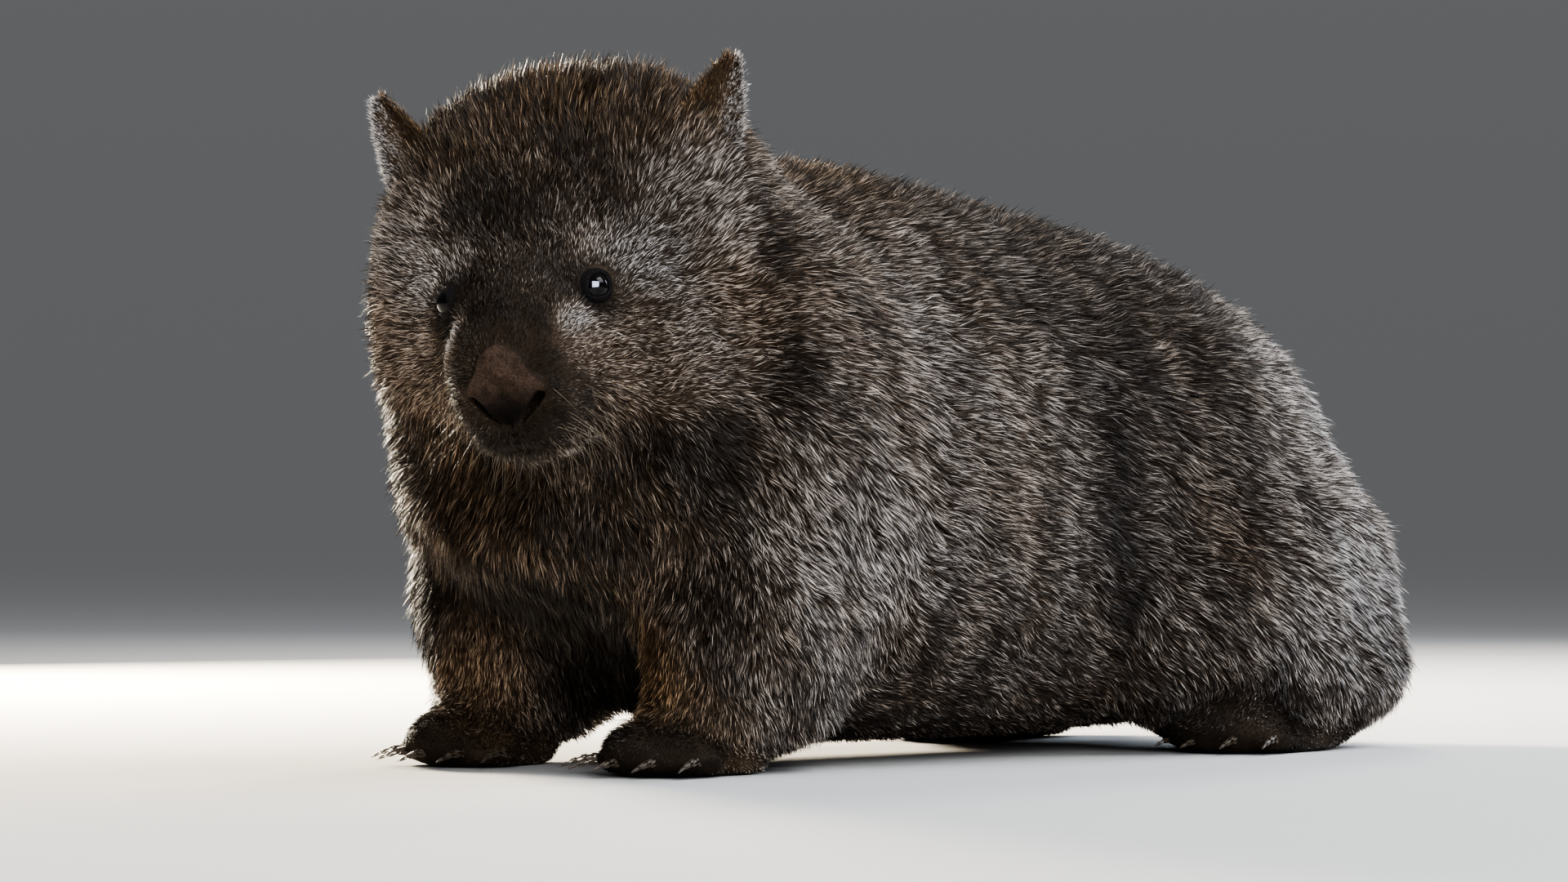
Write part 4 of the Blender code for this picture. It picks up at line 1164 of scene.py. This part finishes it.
def whisker_lines():
    tree = KDTree(body_count)
    for index, point in enumerate(skin_points[:body_count].tolist()):
        tree.insert(point, index)
    tree.balance()
    lines = []
    for middle, spread, way, length, count in WHISKER_ZONES:
        for sign in (1, -1):
            for _ in range(count):
                flip = np.array((1, sign, 1))
                near = from_head(np.array(middle) * flip + chance.normal(0, spread, 3) * (0.6, 1, 1))
                root, index, _ = tree.find(near)
                aim = (np.array(way) * flip + chance.normal(0, 0.22, 3)) @ AXES
                aim = unit(unit(aim) + 0.35 * skin_normals[index])
                reach = length * chance.uniform(0.55, 1.25)
                droop = np.array((0, 0, -1)) * WHISKER_SAG * reach
                lines.append([np.array(root) + aim * reach * t + droop * t * t for t in WHISKER_ROWS])
    return np.array(lines)

def tubes(name, lines, radius, sides=4):
    work_points, faces = [], []
    for line in lines:
        heading = unit(line[-1] - line[0])
        first = unit(np.cross(heading, (0.3, 0.2, 0.9)))
        second = np.cross(heading, first)
        base = len(work_points)
        for row, middle in enumerate(line):
            wide = radius * (1 - 0.9 * row / (len(line) - 1))
            turns = [2 * pi * i / sides for i in range(sides)]
            work_points += [middle + (first * cos(a) + second * sin(a)) * wide for a in turns]
        for row in range(len(line) - 1):
            for i in range(sides):
                a, b = base + row * sides + i, base + row * sides + (i + 1) % sides
                faces.append((a, b, b + sides, a + sides))
    mesh = bpy.data.meshes.new(name)
    mesh.from_pydata([tuple(p) for p in work_points], [], faces)
    mesh.shade_smooth()
    return mesh

whiskers = tubes("whiskers", whisker_lines(), WHISKER_RADIUS)
whiskers.materials.append(whisker_material)
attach(mesh_object("whiskers", whiskers), "root")
print("whisker faces", len(whiskers.polygons))

# %% [markdown]
# The model stands on a plain pale floor in soft studio light: two wide soft lamps above and in front, a
# warm one behind its right side that draws the rim of lit hair, a small one behind and a cool one for the
# flank. Wet eyes show the lamps as highlights, so they get a large lamp that lights nothing else. The dome's
# colour at the horizon matches the far floor, so that the floor runs into it without a line.

# %% Floor, light and camera
FLOOR_SIZE = 60
FLOOR_COLOUR = (0.52, 0.51, 0.495, 1)
HORIZON_COLOUR = (0.125, 0.127, 0.131, 1)
ZENITH_COLOUR = (0.29, 0.30, 0.32, 1)

bpy.ops.mesh.primitive_plane_add(size=FLOOR_SIZE)
floor = bpy.context.object
floor.name = "floor"
tree, shader, floor_material = new_material("floor", 1.0, 0.0)
shader.inputs["Base Color"].default_value = FLOOR_COLOUR
floor.data.materials.append(floor_material)

world = bpy.data.worlds.new("studio")
world.use_nodes = True
sky = world.node_tree
height = sky.nodes.new("ShaderNodeSeparateXYZ")
sky.links.new(sky.nodes.new("ShaderNodeTexCoord").outputs["Generated"], height.inputs[0])
dome = blend_colour(sky, ramp(sky, height.outputs[2], 0.0, 1.0), HORIZON_COLOUR, ZENITH_COLOUR)
feed(sky, sky.nodes["Background"].inputs["Color"], dome)
bpy.context.scene.world = world
bpy.context.scene.view_settings.look = "AgX - Medium High Contrast"

# name: place, size, power and colour
LIGHTS = {
    "sky": ((1.7, 0.3, 2.3), 1.8, 82, (0.90, 0.95, 1.0)),
    "fill": ((2.4, -1.6, 0.95), 1.3, 68, (0.94, 0.96, 1.0)),
    "rim": ((-1.78, 0.30, 0.74), 0.45, 260, (1.0, 0.88, 0.70)),
    "back": ((-1.10, 1.50, 1.70), 0.60, 45, (1.0, 0.92, 0.82)),
    "flank": ((0.5, 2.2, 1.2), 0.8, 75, (0.76, 0.86, 1.0)),
    "catchlight": ((2.20, -1.70, 1.15), 2.2, 1300, (0.66, 0.75, 1.0)),
}
LIT_PLACE = Vector((0.05, -0.15, 0.2))
for name, (place, size, power, colour) in LIGHTS.items():
    light = bpy.data.lights.new(name, "AREA")
    light.size = size
    light.energy = power
    light.color = colour
    lamp = bpy.data.objects.new(name, light)
    bpy.context.scene.collection.objects.link(lamp)
    lamp.location = place
    lamp.rotation_euler = (LIT_PLACE - Vector(place)).to_track_quat("-Z", "Y").to_euler()
    lamp.visible_camera = False
# The catchlight lights only the eyes, and the rim light everything but the eyes
for name, linked in (("catchlight", "INCLUDE"), ("rim", "EXCLUDE")):
    lit = bpy.data.collections.new(f"{name}_eyes")
    for side in ("left", "right"):
        lit.objects.link(bpy.data.objects[f"eyeball_{side}"])
    for entry in lit.collection_objects:
        entry.light_linking.link_state = linked
    bpy.data.objects[name].light_linking.receiver_collection = lit
bpy.data.objects["catchlight"].visible_diffuse = False

CAMERA_PLACE = Vector((2.0413, -2.1179, 0.138))
CAMERA_SIDE = radians(45)
CAMERA_RISE = radians(0.88)
SENSOR_MM, LENS_MM = 36, 116.06
lens = bpy.data.cameras.new("camera")
lens.sensor_width = SENSOR_MM
lens.lens = LENS_MM
camera = bpy.data.objects.new("camera", lens)
bpy.context.scene.collection.objects.link(camera)
camera.location = CAMERA_PLACE
level = cos(CAMERA_RISE)
looking = Vector((-sin(CAMERA_SIDE) * level, cos(CAMERA_SIDE) * level, sin(CAMERA_RISE)))
camera.rotation_euler = looking.to_track_quat("-Z", "Y").to_euler()
bpy.context.scene.camera = camera
print("camera at", [round(x, 3) for x in camera.location])
